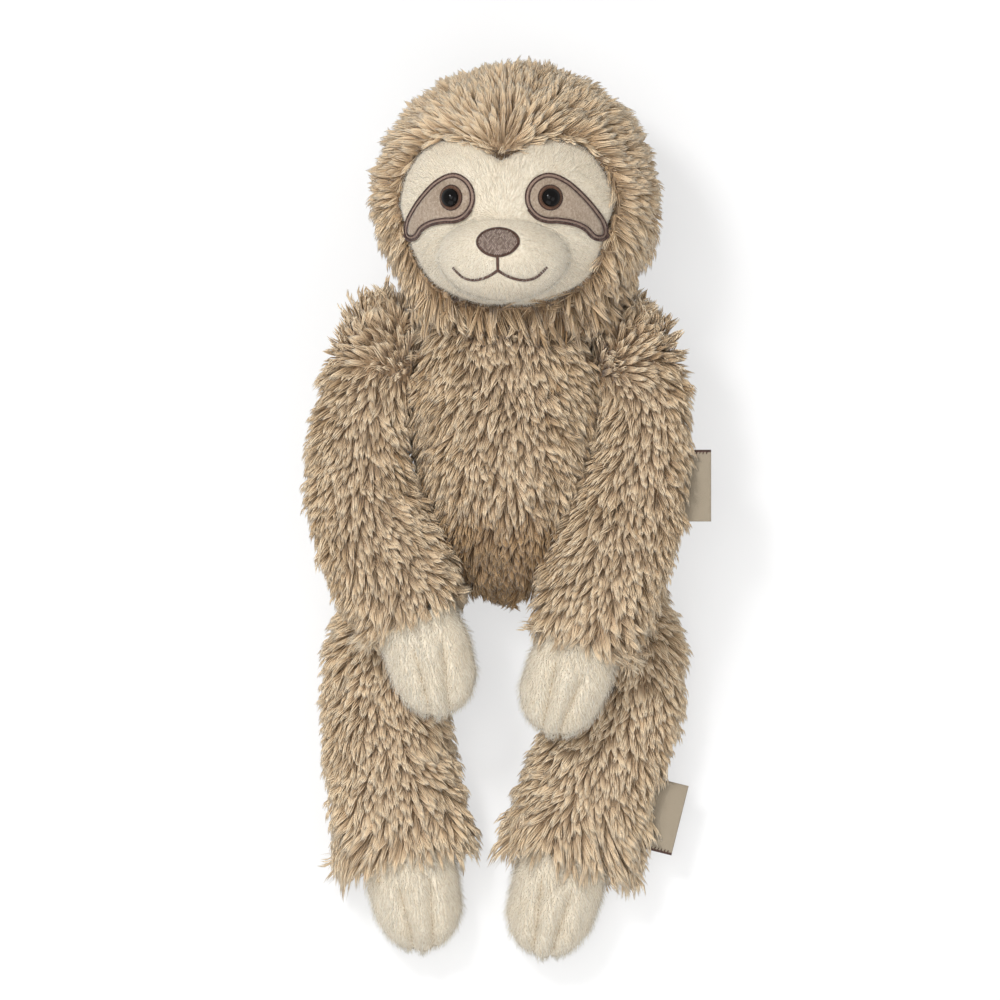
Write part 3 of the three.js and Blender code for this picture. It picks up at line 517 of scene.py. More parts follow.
def pileTree():
    sizes = dict.fromkeys(("spacing", "length", "height", "width", "stray", "swirl"), "Float")
    tree, given, result = newGroup("growPile", "Geometry", {
        "Geometry": "Geometry", **sizes, "zone": "Int", "seed": "Int", "tufts": "Collection", "finish": "Material"},
        {"Geometry": "Geometry"})

    def chance(low, high, seed, kind="FLOAT"):
        node = addNode(tree, "FunctionNodeRandomValue", data_type=kind)
        lowest, highest = [s for s in node.inputs if s.enabled and s.name in ("Min", "Max")]
        lowest.default_value, highest.default_value = low, high
        tree.links.new(calc(tree, "ADD", given["seed"], seed), node.inputs["Seed"])
        return [s for s in node.outputs if s.enabled][0]

    def noise(share, output=0, size=given["swirl"]):
        # waves of noise as wide as a share of the swirls
        wide = size if share == 1 else calc(tree, "MULTIPLY", size, share)
        return noiseOf(tree, output=output, Scale=calc(tree, "DIVIDE", 1.0, wide), Detail=2.0, Roughness=0.55)

    def vectors(operation, *values):
        return madeBy(tree, "ShaderNodeVectorMath", dict(enumerate(values)), operation=operation)

    def scaled(vector, factor):
        return madeBy(tree, "ShaderNodeVectorMath", {0: vector, "Scale": factor}, operation="SCALE")

    def compare(name, value, operation, **more):
        inputs = {0: named(tree, name), 1: value, **more}
        return madeBy(tree, "FunctionNodeCompare", inputs, data_type="FLOAT", operation=operation)

    spread = addNode(tree, "GeometryNodeDistributePointsOnFaces", {
        "Mesh": given["Geometry"], "Distance Min": given["spacing"], "Density Max": 6e6,
        "Density Factor": named(tree, "cover"), "Seed": given["seed"]}, distribute_method="POISSON")
    elsewhere = compare("zone", given["zone"], "NOT_EQUAL", Epsilon=0.5)
    bare = madeBy(tree, "FunctionNodeBooleanMath", {0: elsewhere, 1: compare("edge", 0.0, "LESS_THAN")}, operation="OR")
    kept = madeBy(tree, "GeometryNodeDeleteGeometry", {0: spread.outputs[0], 1: bare}, domain="POINT")

    middle = (0.5, 0.5, 0.5)
    swirl = vectors("SUBTRACT", noise(1, 1), middle)
    ripple = vectors("SUBTRACT", noise(0.3, 1), middle)
    ripple = vectors("ADD", ripple, chance((-0.3,) * 3, (0.3,) * 3, 1, "FLOAT_VECTOR"))
    stray = scaled(vectors("ADD", scaled(swirl, 2.2), ripple), times(tree, given["stray"], named(tree, "stray")))
    way = vectors("ADD", named(tree, "comb", "FLOAT_VECTOR"), stray)

    length = times(tree, given["length"], named(tree, "size"), chance(0.72, 1.25, 2))
    clump = calc(tree, "MULTIPLY_ADD", noise(0.6), 2.2, -0.1)
    height = times(tree, given["height"], named(tree, "lift"), clump, chance(0.8, 1.2, 3))
    width = times(tree, given["width"], chance(0.75, 1.3, 4))
    size = madeBy(tree, "ShaderNodeCombineXYZ", {0: length, 1: width, 2: height})
    variety = madeBy(tree, "GeometryNodeCollectionInfo", {
        "Collection": given["tufts"], "Separate Children": True, "Reset Children": True})
    grown = madeBy(tree, "GeometryNodeInstanceOnPoints", {
        "Points": kept, "Instance": variety, "Pick Instance": True, "Instance Index": chance(0, 29, 5, "INT"),
        "Rotation": standing(tree, spread.outputs["Normal"], way), "Scale": size})

    # strands close together are alike in tone, partly the pile's own tone and partly painted shade from clump to clump,
    # and each differs a little
    tone = calc(tree, "MULTIPLY_ADD", calc(tree, "SUBTRACT", noise(1, size=0.006), 0.5), 1.6, 0.62)
    tone = calc(tree, "ADD", tone, named(tree, "tint"))
    tone = calc(tree, "ADD", tone, chance(-0.22, 0.22, 6), clamp=True)
    return finishTree(tree, grown, tone, given["finish"], result)


growPile = pileTree()
floorRoom = 1.5 * mm


def pressFlat(mesh):
    # strands that would reach below the floor lie on it
    points = pointArray(mesh)
    high = points[:, 2]
    points[:, 2] = np.where(high < floorRoom, floorRoom * np.exp(high / floorRoom - 1), high)
    movePoints(mesh, points)


def mapStrands(mesh):
    # a map with tone across and root to tip upwards, which every strand or stitch shares
    def read(name):
        return readArray(mesh.attributes[name].data, "value", kind=np.float32)

    tone = np.clip(read("shade") + 0.16 * read("own"), 0, 1)
    storeValues(mesh, shade=tone)
    storeMap(mesh, "OFBake", columns(0.03 + 0.94 * tone + 0.02 * read("across"), 0.02 + 0.96 * read("along")))
    for name in [a.name for a in mesh.attributes if not a.is_required]:
        if name not in ("shade", "along", "across", "OFBake") and not name.startswith("."):
            mesh.attributes.remove(mesh.attributes[name])
    print(f"{mesh.name}: {sum(len(p.vertices) - 2 for p in mesh.polygons)} triangles")


def growOn(skin, name, body, slot, tufts, material, look, seed, zone=0):
    mesh = runTree(skin, growPile, name, {**look, "zone": zone, "seed": seed, "tufts": tufts, "finish": material})
    pressFlat(mesh)
    mapStrands(mesh)
    return finishPiece(inScene(bpy.data.objects.new(name, mesh)), body, material, slot)


# ---- stuffed skins, from the frame's own forms ----
def biggestIsland(mesh):
    shape = bmesh.new()
    shape.from_mesh(mesh)
    left, islands = set(shape.verts), []
    while left:
        island, edge = set(), {next(iter(left))}
        while edge:
            island |= edge
            edge = {other for vertex in edge for link in vertex.link_edges for other in link.verts} - island
        islands.append(island)
        left -= island
    keep = max(islands, key=len)
    bmesh.ops.delete(shape, geom=[v for v in shape.verts if v not in keep], context="VERTS")
    shape.to_mesh(mesh)
    shape.free()


def stuffedSkin(name, parts, grain):
    shape = bmesh.new()
    for part in parts:
        shape.from_mesh(cadNodes[part].data)
    bmesh.ops.remove_doubles(shape, verts=shape.verts, dist=1e-6)
    skin = meshPiece(name, [], [])
    shape.to_mesh(skin.data)
    shape.free()
    reshape(skin, "REMESH", mode="VOXEL", voxel_size=grain)
    biggestIsland(skin.data)
    reshape(skin, "SMOOTH", iterations=10)
    return skin


skinLook = {
    # kind of pile: grain of the skin, and room for the pile
    "long": (2.2 * mm, 2.3 * mm),
    "short": (1.0 * mm, 0.3 * mm),
}
pawStitch, lineNames = {"hand": "finger", "foot": "toe"}, ("inner", "outer")
skins, bodyOf, sinkOf, partsOf = {}, {}, {}, {}


def makeSkins():
    wanted = [("torso", "torso", "", "long"), ("head", "head", "", "long")]
    for side in sides:
        for limb, paw in (("arm", "hand"), ("leg", "foot")):
            wanted += [(limb, f"{limb}_{side}", f"_{side}", "long"), (paw, f"{limb}_{side}", f"_{side}", "short")]
    for part, body, tail, pile in wanted:
        name = f"{part}Cover{tail.replace('_', '.')}"
        bodyOf[name], partsOf[name] = body, [f"{part}_cover{tail}", f"{part}_filling{tail}"]
        pressed = [f"{pawStitch[part]}_stitch{tail}_{which}" for which in lineNames] if part in pawStitch else []
        grain, sinkOf[name] = skinLook[pile]
        skins[name] = stuffedSkin(name, partsOf[name] + pressed, grain)


makeSkins()
print("skins:", {name: len(skin.data.vertices) for name, skin in skins.items()})


def treeOf(piece):
    mesh = piece.data
    return BVHTree.FromPolygons([v.co for v in mesh.vertices], [p.vertices for p in mesh.polygons])


skinTrees = {name: treeOf(skin) for name, skin in skins.items()}


def roomAbove(name, points, normals, most):
    # how far each point can look out before it meets another body's skin or the floor
    others = [tree for other, tree in skinTrees.items() if bodyOf[other] != bodyOf[name]]
    room = np.full(len(points), most)
    downwards = normals[:, 2] < -0.05
    room[downwards] = np.minimum(room[downwards], points[downwards, 2] / -normals[downwards, 2])
    for i, (point, normal) in enumerate(zip(points, normals)):
        start, way = Vector(point), Vector(normal)
        for tree in others:
            hit = tree.ray_cast(start, way, room[i])
            if hit[0] is not None:
                room[i] = hit[3]
    return room


def slimSkins():
    # room for the pile, but none where a skin lies against another body or the floor
    for name, skin in skins.items():
        points, normals = surfaceOf(skin.data)
        room = roomAbove(name, points, normals, 9 * mm)
        sink = sinkOf[name] * smoothStep(room, 4 * mm, 9 * mm)
        movePoints(skin.data, points - normals * sink[:, None])
    for name, skin in skins.items():
        skinTrees[name] = treeOf(skin)


slimSkins()


# ---- the head's own frame, in mm, in which the face is laid out ----
headForm = {"centre": (6.2, 97.28, 54.0), "turn": -7.0, "wide": 51.5, "tall": 49.0}
muzzleForm = {"drop": 21.5, "forward": 39.0, "half": (25.5, 17.5, 20.0)}
faceHalf = 42.6
headTurn = np.array(Matrix.Rotation(math.radians(headForm["turn"]), 3, "Y"))


def fromHead(points):
    return (points @ headTurn.T + np.array(headForm["centre"])) * mm


def toHead(points):
    return (points / mm - np.array(headForm["centre"])) @ headTurn


def faceDepth(u, v):
    share = 1 - (u / headForm["wide"]) ** 2 - (v / headForm["tall"]) ** 2
    return headForm["wide"] * np.sqrt(np.clip(share, 0.01, 1))


def fullDepth(u, v):
    wide, tall, deep = muzzleForm["half"]
    share = np.clip(1 - (u / wide) ** 2 - ((v + muzzleForm["drop"]) / tall) ** 2, 0, 1)
    return np.maximum(faceDepth(u, v), np.where(share > 0, muzzleForm["forward"] + deep * np.sqrt(share), 0))


def onHead(flat, rise=0.0, depth=fullDepth):
    # flat points of the face, put on its surface and raised along its normal
    u, v = flat[:, 0], flat[:, 1]
    step = 0.05
    slopeU = (depth(u + step, v) - depth(u - step, v)) / (2 * step)
    slopeV = (depth(u, v + step) - depth(u, v - step)) / (2 * step)
    normals = unit(columns(-slopeU, -slopeV, 1.0))
    rise = np.broadcast_to(rise, len(u))[:, None]
    return fromHead(columns(u, v, depth(u, v)) + normals * rise), normals @ headTurn.T


# ---- flat outlines ----
def curveThrough(points, steps, closed=True):
    # a centripetal spline through flat points
    points = np.asarray(points, float)
    if closed:
        points = np.vstack([points[-1:], points, points[:2]])
    else:
        points = np.vstack([2 * points[0] - points[1], points, 2 * points[-1] - points[-2]])

    def between(t, start, end, first, second):
        return ((end - t) * first + (t - start) * second) / (end - start)

    curve = []
    for p in zip(points, points[1:], points[2:], points[3:]):
        gaps = [math.sqrt(np.linalg.norm(b - a)) for a, b in zip(p, p[1:])]
        knots = np.cumsum([0, *gaps])
        for t in np.linspace(knots[1], knots[2], steps, endpoint=False):
            a = [between(t, knots[k], knots[k + 1], p[k], p[k + 1]) for k in range(3)]
            b = [between(t, knots[k], knots[k + 2], a[k], a[k + 1]) for k in range(2)]
            curve.append(between(t, knots[1], knots[2], *b))
    return np.array(curve if closed else [*curve, points[-2]])


def evenly(line, gap, closed=False):
    # places at even steps along a line, and the way it runs at each
    if closed:
        line = np.vstack([line, line[:1]])
    reach = np.concatenate([[0], np.cumsum(np.linalg.norm(np.diff(line, axis=0), axis=1))])
    count = max(2, round(reach[-1] / gap))
    at = (np.arange(count) + 0.5) * reach[-1] / count

    def placesAt(along):
        return columns(*[np.interp(along, reach, line[:, k]) for k in range(2)])

    return placesAt(at), unit(placesAt(at + 0.1) - placesAt(at - 0.1))


def distanceTo(points, line, closed=True):
    ends = np.roll(line, -1, 0) if closed else line[1:]
    nearest = np.full(len(points), 1e9)
    for a, b in zip(line, ends):
        d = b - a
        share = np.clip(((points - a) @ d) / max(d @ d, 1e-12), 0, 1)
        nearest = np.minimum(nearest, np.linalg.norm(points - a - share[:, None] * d, axis=1))
    return nearest


def outsideBy(points, outline):
    # distance to a closed outline, less than nothing inside it
    inside = np.zeros(len(points), bool)
    for (ax, ay), (bx, by) in zip(outline, np.roll(outline, -1, 0)):
        if ay != by:
            crosses = (ay > points[:, 1]) != (by > points[:, 1])
            inside ^= crosses & (points[:, 0] < (bx - ax) * (points[:, 1] - ay) / (by - ay) + ax)
    return distanceTo(points, outline) * np.where(inside, -1, 1)


def runOf(outline):
    return unit(np.roll(outline, -1, 0) - np.roll(outline, 1, 0))


def movedOut(outline, distance):
    # a closed outline that runs anticlockwise, moved outwards
    along = runOf(outline)
    return outline + columns(along[:, 1], -along[:, 0]) * distance


def flatMesh(outline, gap):
    low, high = outline.min(0), outline.max(0)
    across, up = np.meshgrid(np.arange(low[0], high[0], gap), np.arange(low[1], high[1], gap))
    grid = columns(across.ravel(), up.ravel())
    points = np.vstack([outline, grid[outsideBy(grid, outline) < -0.45 * gap]])
    ring = [(i, (i + 1) % len(outline)) for i in range(len(outline))]
    made = delaunay_2d_cdt([Vector(p) for p in points], ring, [], 1, 1e-5)
    return np.array([tuple(p) for p in made[0]]), made[2]


def mirrored(line, side):
    # outlines are laid out on the toy's left, and stay anticlockwise on its right
    return line if sides[side] > 0 else (line * (-1, 1))[::-1]


# half the face from the notch round to the chin, in shares of its half width
faceShares = [(0, 0.362), (0.16, 0.447), (0.33, 0.532), (0.5, 0.558), (0.73, 0.488), (0.93, 0.237), (1, -0.038),
              (0.944, -0.248), (0.885, -0.458), (0.735, -0.738), (0.5, -0.893), (0.25, -0.968), (0, -0.983)]
faceSide = curveThrough(np.array(faceShares) * faceHalf, 10, closed=False)
faceLine = np.vstack([faceSide, (faceSide * (-1, 1))[-2:0:-1]])[::-1]

patchLook = {
    "eye": (19.1, 0.7), "radius": 7.3, "reach": 16.9, "drop": 14.1, "angles": [95, 130, 165, 200, 235, 262],
    "tail": [(0.16, 0.52), (0.54, 0.6), (0.8, 0.76), (0.97, 0.98), (1.07, 0.97), (1.05, 0.72), (0.9, 0.4),
             (0.64, 0.01), (0.3, -0.36)]}


def patchLine():
    (x, y), radius = patchLook["eye"], patchLook["radius"]
    turns = [math.radians(a) for a in patchLook["angles"]]
    points = [(x + radius * math.cos(turn), y + radius * math.sin(turn)) for turn in turns]
    points += [(x + patchLook["reach"] * out, y - patchLook["drop"] * down) for out, down in patchLook["tail"]]
    return curveThrough(points, 8)


patchLines = {side: mirrored(patchLine(), side) for side in sides}
noseLook = {"middle": (0.0, -16.8), "half": (8.4, 5.5), "taper": 0.12, "ground": 0.97, "thick": 0.9 * mm,
            "bulge": 0.55, "gaps": (0.82, 0.5), "margin": 0.9, "fill": (0.74, 0.42, 0.42), "edge": 0.95,
            "edgeGap": 0.34, "edgeStitch": (1.35, 0.46, 0.6)}
noseMiddle, noseHalf = np.array(noseLook["middle"]), np.array(noseLook["half"])
turns = np.linspace(0, 2 * math.pi, 72, endpoint=False)
noseShape = columns(np.cos(turns) * (1 + noseLook["taper"] * np.minimum(np.sin(turns), 0)), np.sin(turns))
noseLine = noseMiddle + noseShape * noseHalf

mouthLook = {"top": -22.2, "fork": -27.5, "wide": 18.2, "deep": 3.9, "gap": 0.55, "stitch": (1.0, 1.25, 0.85)}
lipShares = [(0, 0), (0.17, 0.5), (0.36, 0.84), (0.58, 0.96), (0.78, 0.68), (0.92, 0.12), (1, -0.28)]
mouthLines = [np.array([(0, mouthLook["top"]), (0, mouthLook["fork"])])]
for sign in (-1, 1):
    lip = [(sign * out * mouthLook["wide"], mouthLook["fork"] - down * mouthLook["deep"]) for out, down in lipShares]
    mouthLines.append(curveThrough(lip, 8, closed=False))


# ---- long pile on the torso, head, arms and legs ----
furLook = {"spacing": 2.05 * mm, "length": 9.5 * mm, "height": 4.8 * mm, "width": 1.15 * mm, "stray": 0.9,
           "swirl": 12 * mm}
headFurLook = {**furLook, "length": 12.5 * mm, "stray": 0.8, "swirl": 14 * mm}
underLook = {"spacing": 1.2 * mm, "length": 0.75, "height": 0.6, "width": 0.9 * mm}  # length and height are shares
furSpans = {
    # where each change of the fur begins and is complete, in mm on the body
    "flankSide": (20, 31), "flankLow": (-32, -16), "flankHigh": (20, 34), "seat": (14, 42), "corner": (40, 52),
    "cornerComb": (42, 54), "backOfHead": (-45, -10), "cheeks": (8, 45), "chin": (36, 54), "crown": (-6, 12),
    "shoulder": (14, 44), "armTop": (20, 42), "armCuff": (48, 68), "legCuff": (130, 155), "legEnd": (140, 150)}
torsoMiddle = 2 * mm
notch = fromHead(np.array([[*faceShares[0], 44]]) * (faceHalf, faceHalf, 1))[0]  # where the hair starts above the face


def spanned(name, places):
    low, high = furSpans[name]
    return smoothStep(places, low * mm, high * mm)


def limbMiddle(points):
    # the limb's middle line, from slices across it
    x, y, _ = points.T
    low, high = y.min(), y.max()
    levels = np.linspace(low, high, 25)
    slices = np.clip(((y - low) / (high - low) * 24).astype(int), 0, 23)
    centres = np.array([x[slices == k].mean() if (slices == k).any() else np.nan for k in range(24)])
    middles = (levels[1:] + levels[:-1]) / 2
    good = ~np.isnan(centres)
    centres = np.interp(middles, middles[good], centres[good])
    centres = np.convolve(np.pad(centres, 2, "edge"), np.ones(5) / 5, "valid")
    return np.interp(y, middles, centres), np.interp(y, middles, np.gradient(centres, middles))


def flankOf(points):
    # where the torso lies beside the upper arms
    x, y, _ = points.T
    return spanned("flankSide", np.abs(x - torsoMiddle)) * spanned("flankLow", y) * (1 - spanned("flankHigh", y))


def combOf(name, points, normals):
    x, y, z = points.T
    if name == "torsoCover":
        sideways = (x - torsoMiddle) * 18 * (1 + 1.2 * flankOf(points))
        corner = spanned("cornerComb", y) * smoothStep(np.abs(sideways), 0.2, 0.45)
        comb = columns(sideways * (1 + corner), -1 + 1.3 * corner, 0.0)
    elif name == "headCover":  # the back of the head lies downwards, and so do the cheeks
        comb = unit(points - notch)
        comb[:, 1] -= 0.55 * spanned("backOfHead", -z)
        comb[:, 1] -= 0.85 * spanned("cheeks", notch[1] - y)
    else:
        middle, slope = limbMiddle(points)
        comb = unit(columns(-slope, -1.0, 0.0)) + 0.5 * (columns(x - middle, 0.0, 0.0) / (16 * mm))
        if name.startswith("arm"):  # over the shoulder the pile fans out from the armpit
            armpit = np.array([math.copysign(39 * mm, x.mean()), 25 * mm, 40 * mm])
            share = spanned("shoulder", y)[:, None]
            comb = comb * (1 - share) + unit(points - armpit) * 1.3 * share
    return alongSkin(comb, normals)


def storePile(mesh, comb, room, height, edge=None, zones=1):
    # what the pile tree reads at each point of a skin
    lift = np.clip(0.58 * room / height, 0.08, 1)
    size = 0.45 + 0.55 * smoothStep(room, 0.3 * mm, 5 * mm)
    if edge is not None:
        size *= 0.6 + 0.4 * smoothStep(edge, 0.2, 4)
    heights = pointArray(mesh)[:, 1]
    zone = np.argsort(np.argsort(-heights)) * zones // len(heights)  # equal bands from the top down
    storeValues(mesh, comb=comb, lift=lift, size=size, cover=0.5 + 0.5 * smoothStep(room, 0.3 * mm, 3 * mm),
                stray=1, tint=0, edge=1 if edge is None else edge, zone=zone)
    return size, lift


def furChanges(name, points, normals):
    # the tone, and how many times more the pile strays, reaches and stands up
    y = points[:, 1]
    down = -y
    sideways = 1 - smoothStep(normals[:, 2], 0.25, 0.65)  # where the pile stands out beside the form
    if name == "torsoCover":
        corner = spanned("corner", y) * sideways
        # the tone is lowered towards the bottom of the torso: painted shade between the arms and legs
        return -1.4 * spanned("seat", down), 1, 1 + 0.35 * flankOf(points), 1 + 1.1 * corner
    if name == "headCover":  # the hair is ruffled where it hangs over the neck
        chin = spanned("chin", notch[1] + down)
        crown = spanned("crown", y - notch[1])
        # the crown's pile is lighter, painted light on top of the head, and the pile at the chin is darker, painted
        # shade under the face
        return 0.08 + 0.2 * crown - 0.3 * chin, 1 + 0.9 * chin, 1 + 0.3 * chin, 1 + 1.3 * chin * sideways
    if name.startswith("arm"):
        top = spanned("armTop", y)
        cuff = spanned("armCuff", down)
        return 0.03 + 0.08 * cuff, 1 + 0.6 * top, 1 + 0.4 * cuff, 1 + 0.8 * top * sideways
    # over the feet it flares, but not from the cloth that closes the leg's end
    cuff = spanned("legCuff", down)
    closed = smoothStep(-normals[:, 1], 0.6, 0.85) * spanned("legEnd", down)
    return 0.22 + 0.06 * cuff, 1, (1 + 0.75 * cuff) * (1 - 0.55 * closed), 1 + 0.8 * cuff * sideways


def growFur(name, look=furLook, zones=1):
    skin, body = skins[name], bodyOf[name]
    mesh = skin.data
    points, normals = surfaceOf(mesh)
    edge = None
    if name == "headCover":
        local = toHead(points)
        edge = np.where(local[:, 2] > 5, outsideBy(local[:, :2], faceLine) + 0.4, 9)
    room = roomAbove(name, points, normals, 16 * mm)
    size, lift = storePile(mesh, combOf(name, points, normals), room, look["height"], edge, zones)
    tint, stray, longer, higher = furChanges(name, points, normals)
    storeValues(mesh, tint=tint, stray=stray, size=size * longer, lift=lift * higher)
    for zone in range(zones):
        label = name.replace("Cover", "Fur") + (f".{zone + 1}" if zones > 1 else "")
        growOn(skin, label, body, "long_pile_plush", longTufts, longPile, look, 11, zone)
    storeValues(mesh, zone=0)
    under = {**look, "spacing": underLook["spacing"], "width": underLook["width"],
             "length": look["length"] * underLook["length"], "height": look["height"] * underLook["height"]}
    growOn(skin, name.replace("Cover", "Undercoat"), body, "long_pile_plush", underTufts, longPile, under, 12)


growFur("torsoCover", zones=2)
growFur("headCover", headFurLook, zones=3)
for side in sides:
    growFur(f"armCover.{side}")
    growFur(f"legCover.{side}")
for name in ["torsoCover", "headCover"] + [f"{limb}Cover.{side}" for limb in ("arm", "leg") for side in sides]:
    finishPiece(skins[name], bodyOf[name], longPileBacking, "long_pile_plush", *partsOf[name])
print("long pile grown")


# ---- short pile on hands, feet and face ----
plushLook = {"spacing": 0.7 * mm, "length": 2.6 * mm, "height": 1.3 * mm, "width": 0.42 * mm, "stray": 0.7,
             "swirl": 5 * mm}
pawLook = {"spacing": 0.85 * mm, "length": 3.6 * mm, "height": 2.0 * mm, "width": 0.62 * mm, "stray": 1.1,
           "swirl": 3.5 * mm}
grooveLook = {"depth": 1.7 * mm, "width": 1.2 * mm, "swell": 0.8 * mm, "swellWidth": 2.4 * mm, "reach": 4.5 * mm,
              "tip": 7 * mm, "gap": 1.6, "stitch": (1.25, 0.45, 0.45)}
faceLook = {"thick": 2.3 * mm, "rim": 1.1, "room": 9 * mm, "pile": 1 * mm, "spacing": 0.66 * mm,
            "muzzleSpacing": 0.62 * mm}


def growPlush(piece, name, body, slot="short_pile_plush", material=shortPile, **changes):
    growOn(piece, name, body, slot, shortTufts, material, {**plushLook, **changes}, 5)


def stitchLines(paw, side):
    # where the frame has its two stitched lines, seen from above
    ends = []
    for which in lineNames:
        points = pointArray(cadNodes[f"{pawStitch[paw]}_stitch_{side}_{which}"].data)
        ends.append((points[points[:, 1].argmax(), :2], points[points[:, 1].argmin(), :2]))
    return ends


def shapePaw(mesh, lines):
    # fingers or toes: a groove pressed in along each stitched line, fainter at the tip, and a swell beside it
    points, normals = surfaceOf(mesh)
    move = np.zeros(len(points))
    look = grooveLook
    for start, end in lines:
        ahead = unit(end - start)
        offset = points[:, :2] - start
        along = offset @ ahead
        away = np.abs(offset @ np.array([-ahead[1], ahead[0]]))
        left = math.dist(start, end) - along
        faded = smoothStep(along, -2 * mm, 5 * mm) * smoothStep(normals[:, 2], -0.75, -0.1)
        faded *= 0.35 + 0.65 * smoothStep(left, -1 * mm, look["tip"])
        move -= look["depth"] * np.exp(-(away / look["width"]) ** 2) * faded
        move += look["swell"] * np.exp(-((away - look["reach"]) / look["swellWidth"]) ** 2) * faded
    movePoints(mesh, points + normals * move[:, None])
    return np.clip(-move / look["depth"], 0, 1)


def makePaw(paw, side):
    name = f"{paw}Cover.{side}"
    skin, body = skins[name], bodyOf[name]
    mesh = skin.data
    lines = stitchLines(paw, side)
    groove = shapePaw(mesh, lines)
    skinTrees[name] = treeOf(skin)
    points, normals = surfaceOf(mesh)
    comb = alongSkin(np.tile((0.0, -1.0, 0.0), (len(points), 1)), normals, 0.001)
    storePile(mesh, comb, roomAbove(name, points, normals, 6 * mm), pawLook["height"])
    # the pile is darker down in the grooves: painted shade in the creases between fingers and toes
    storeValues(mesh, size=1 - 0.5 * groove, tint=0.12 - 1.1 * groove)
    growPlush(skin, f"{paw}Pile.{side}", body, **pawLook)
    finishPiece(skin, body, shortPileCloth, "short_pile_plush", *partsOf[name])
    return lines


pawLines = {(paw, side): makePaw(paw, side) for paw in pawStitch for side in sides}
print("hands and feet ready")


def thicken(piece, thickness, offset=-1):
    reshape(piece, "SOLIDIFY", thickness=thickness, offset=offset)


def combFace(mesh, middle):
    # the pile lies away from a height on the face's middle line
    local, normals = toHead(pointArray(mesh)), normalArray(mesh)
    way = columns(local[:, 0] * 0.8, local[:, 1] - middle, 0.0) @ headTurn.T
    return alongSkin(way, normals, 1e-5), local, (normals @ headTurn)[:, 2]


def bareOnFace(local):
    # how far each point lies from what is sewn on the face
    flat = local[:, :2]
    clear = np.minimum(9.0, outsideBy(flat, noseLine) - 0.5)
    for line in patchLines.values():
        clear = np.minimum(clear, outsideBy(flat, line) - 2.1)
    for line in mouthLines:
        clear = np.minimum(clear, distanceTo(flat, line, closed=False) - 0.55)
    return np.where(local[:, 2] > 20, clear, 9)


def plushOnFace(piece, pile, edge, comb, tint=0, **changes):
    storePile(piece.data, comb, np.full(len(comb), faceLook["room"]), faceLook["pile"], edge)
    storeValues(piece.data, tint=tint)
    growPlush(piece, pile, "head", **changes)


def makeFace():
    flat, faces = flatMesh(evenly(faceLine, 1.0, closed=True)[0], 1.1)
    rim = 1 - smoothStep(-outsideBy(flat, faceLine), 0, 2.0)
    points, _ = onHead(flat, -faceLook["rim"] * rim, faceDepth)
    face = meshPiece("faceCover", points, faces)
    thicken(face, faceLook["thick"])
    comb, local, front = combFace(face.data, -8)
    edge = np.where(front > 0.05, bareOnFace(local), -1)
    wide, tall, _ = muzzleForm["half"]
    underMuzzle = (local[:, 0] / wide) ** 2 + ((local[:, 1] + muzzleForm["drop"]) / tall) ** 2 < 0.45
    # the lower face is lighter: painted light where its surface turns down away from the lamps
    tint = 0.12 * smoothStep(-local[:, 1], 4, 14)
    plushOnFace(face, "facePile", np.where(underMuzzle, -1, edge), comb, tint, spacing=faceLook["spacing"])
    finishPiece(face, "head", shortPileCloth, "short_pile_plush", "face_panel")


def makeMuzzle():
    around, rings = 96, 26
    wide, tall, deep = muzzleForm["half"]

    def spot(angle, tilt, shrink=0.0):
        return ((wide - shrink) * math.sin(tilt) * math.cos(angle),
                -muzzleForm["drop"] + (tall - shrink) * math.sin(tilt) * math.sin(angle),
                muzzleForm["forward"] + (deep - shrink) * math.cos(tilt))

    def outside(place):
        x, y, z = place
        return (x / headForm["wide"]) ** 2 + (y / headForm["tall"]) ** 2 + (z / headForm["wide"]) ** 2 > 0.99

    points, faces = [spot(0, 0)], []
    for i in range(around):  # down each meridian to where it meets the head
        angle = 2 * math.pi * i / around
        tilt = 0.5
        while outside(spot(angle, tilt)) and tilt < 2.2:
            tilt += 0.01
        points += [spot(angle, tilt * k / rings, 1.0 if k == rings else 0.0) for k in range(1, rings + 1)]
    starts = [1 + i * rings for i in range(around + 1)]
    starts[-1] = starts[0]
    for a, b in zip(starts, starts[1:]):
        faces.append((0, a, b))
        faces += [(a + k, a + k + 1, b + k + 1, b + k) for k in range(rings - 1)]
    back = len(points)
    points.append((0, -muzzleForm["drop"] - 3, 40.5))
    faces += [(a + rings - 1, back, b + rings - 1) for a, b in zip(starts, starts[1:])]
    muzzle = meshPiece("muzzleCover", fromHead(np.array(points)), faces)
    faceOutwards(muzzle)
    comb, local, front = combFace(muzzle.data, -13)
    edge = np.where(front > -0.6, bareOnFace(local), -1)
    edge[back] = -1
    # the muzzle's pile is paler than the face, and darker towards its lower edge, which is painted shade under the
    # muzzle
    tint = 0.3 - 0.1 * smoothStep(-local[:, 1], 29, 40)
    plushOnFace(muzzle, "muzzlePile", edge, comb, tint, spacing=faceLook["muzzleSpacing"])
    finishPiece(muzzle, "head", shortPileCloth, "short_pile_plush", "muzzle_panel", "muzzle_filling")


makeFace()
makeMuzzle()
print("face ready")


# ---- stitches, placed one by one and shaped by one tree ----
def stitchShape():
    places = [(x, radius, 2 * math.pi * j / 5) for x, radius in ((-0.5, 0.2), (-0.25, 0.5), (0.25, 0.5), (0.5, 0.2))
              for j in range(5)]
    return storeShape("stitch", {
        "points": [(x, radius * math.cos(angle), radius * math.sin(angle)) for x, radius, angle in places],
        "faces": tubeFaces(4, 5) + [tuple(range(5)), tuple(range(15, 20))],
        "along": [x + 0.5 for x, _, _ in places], "across": 0, "own": 0})


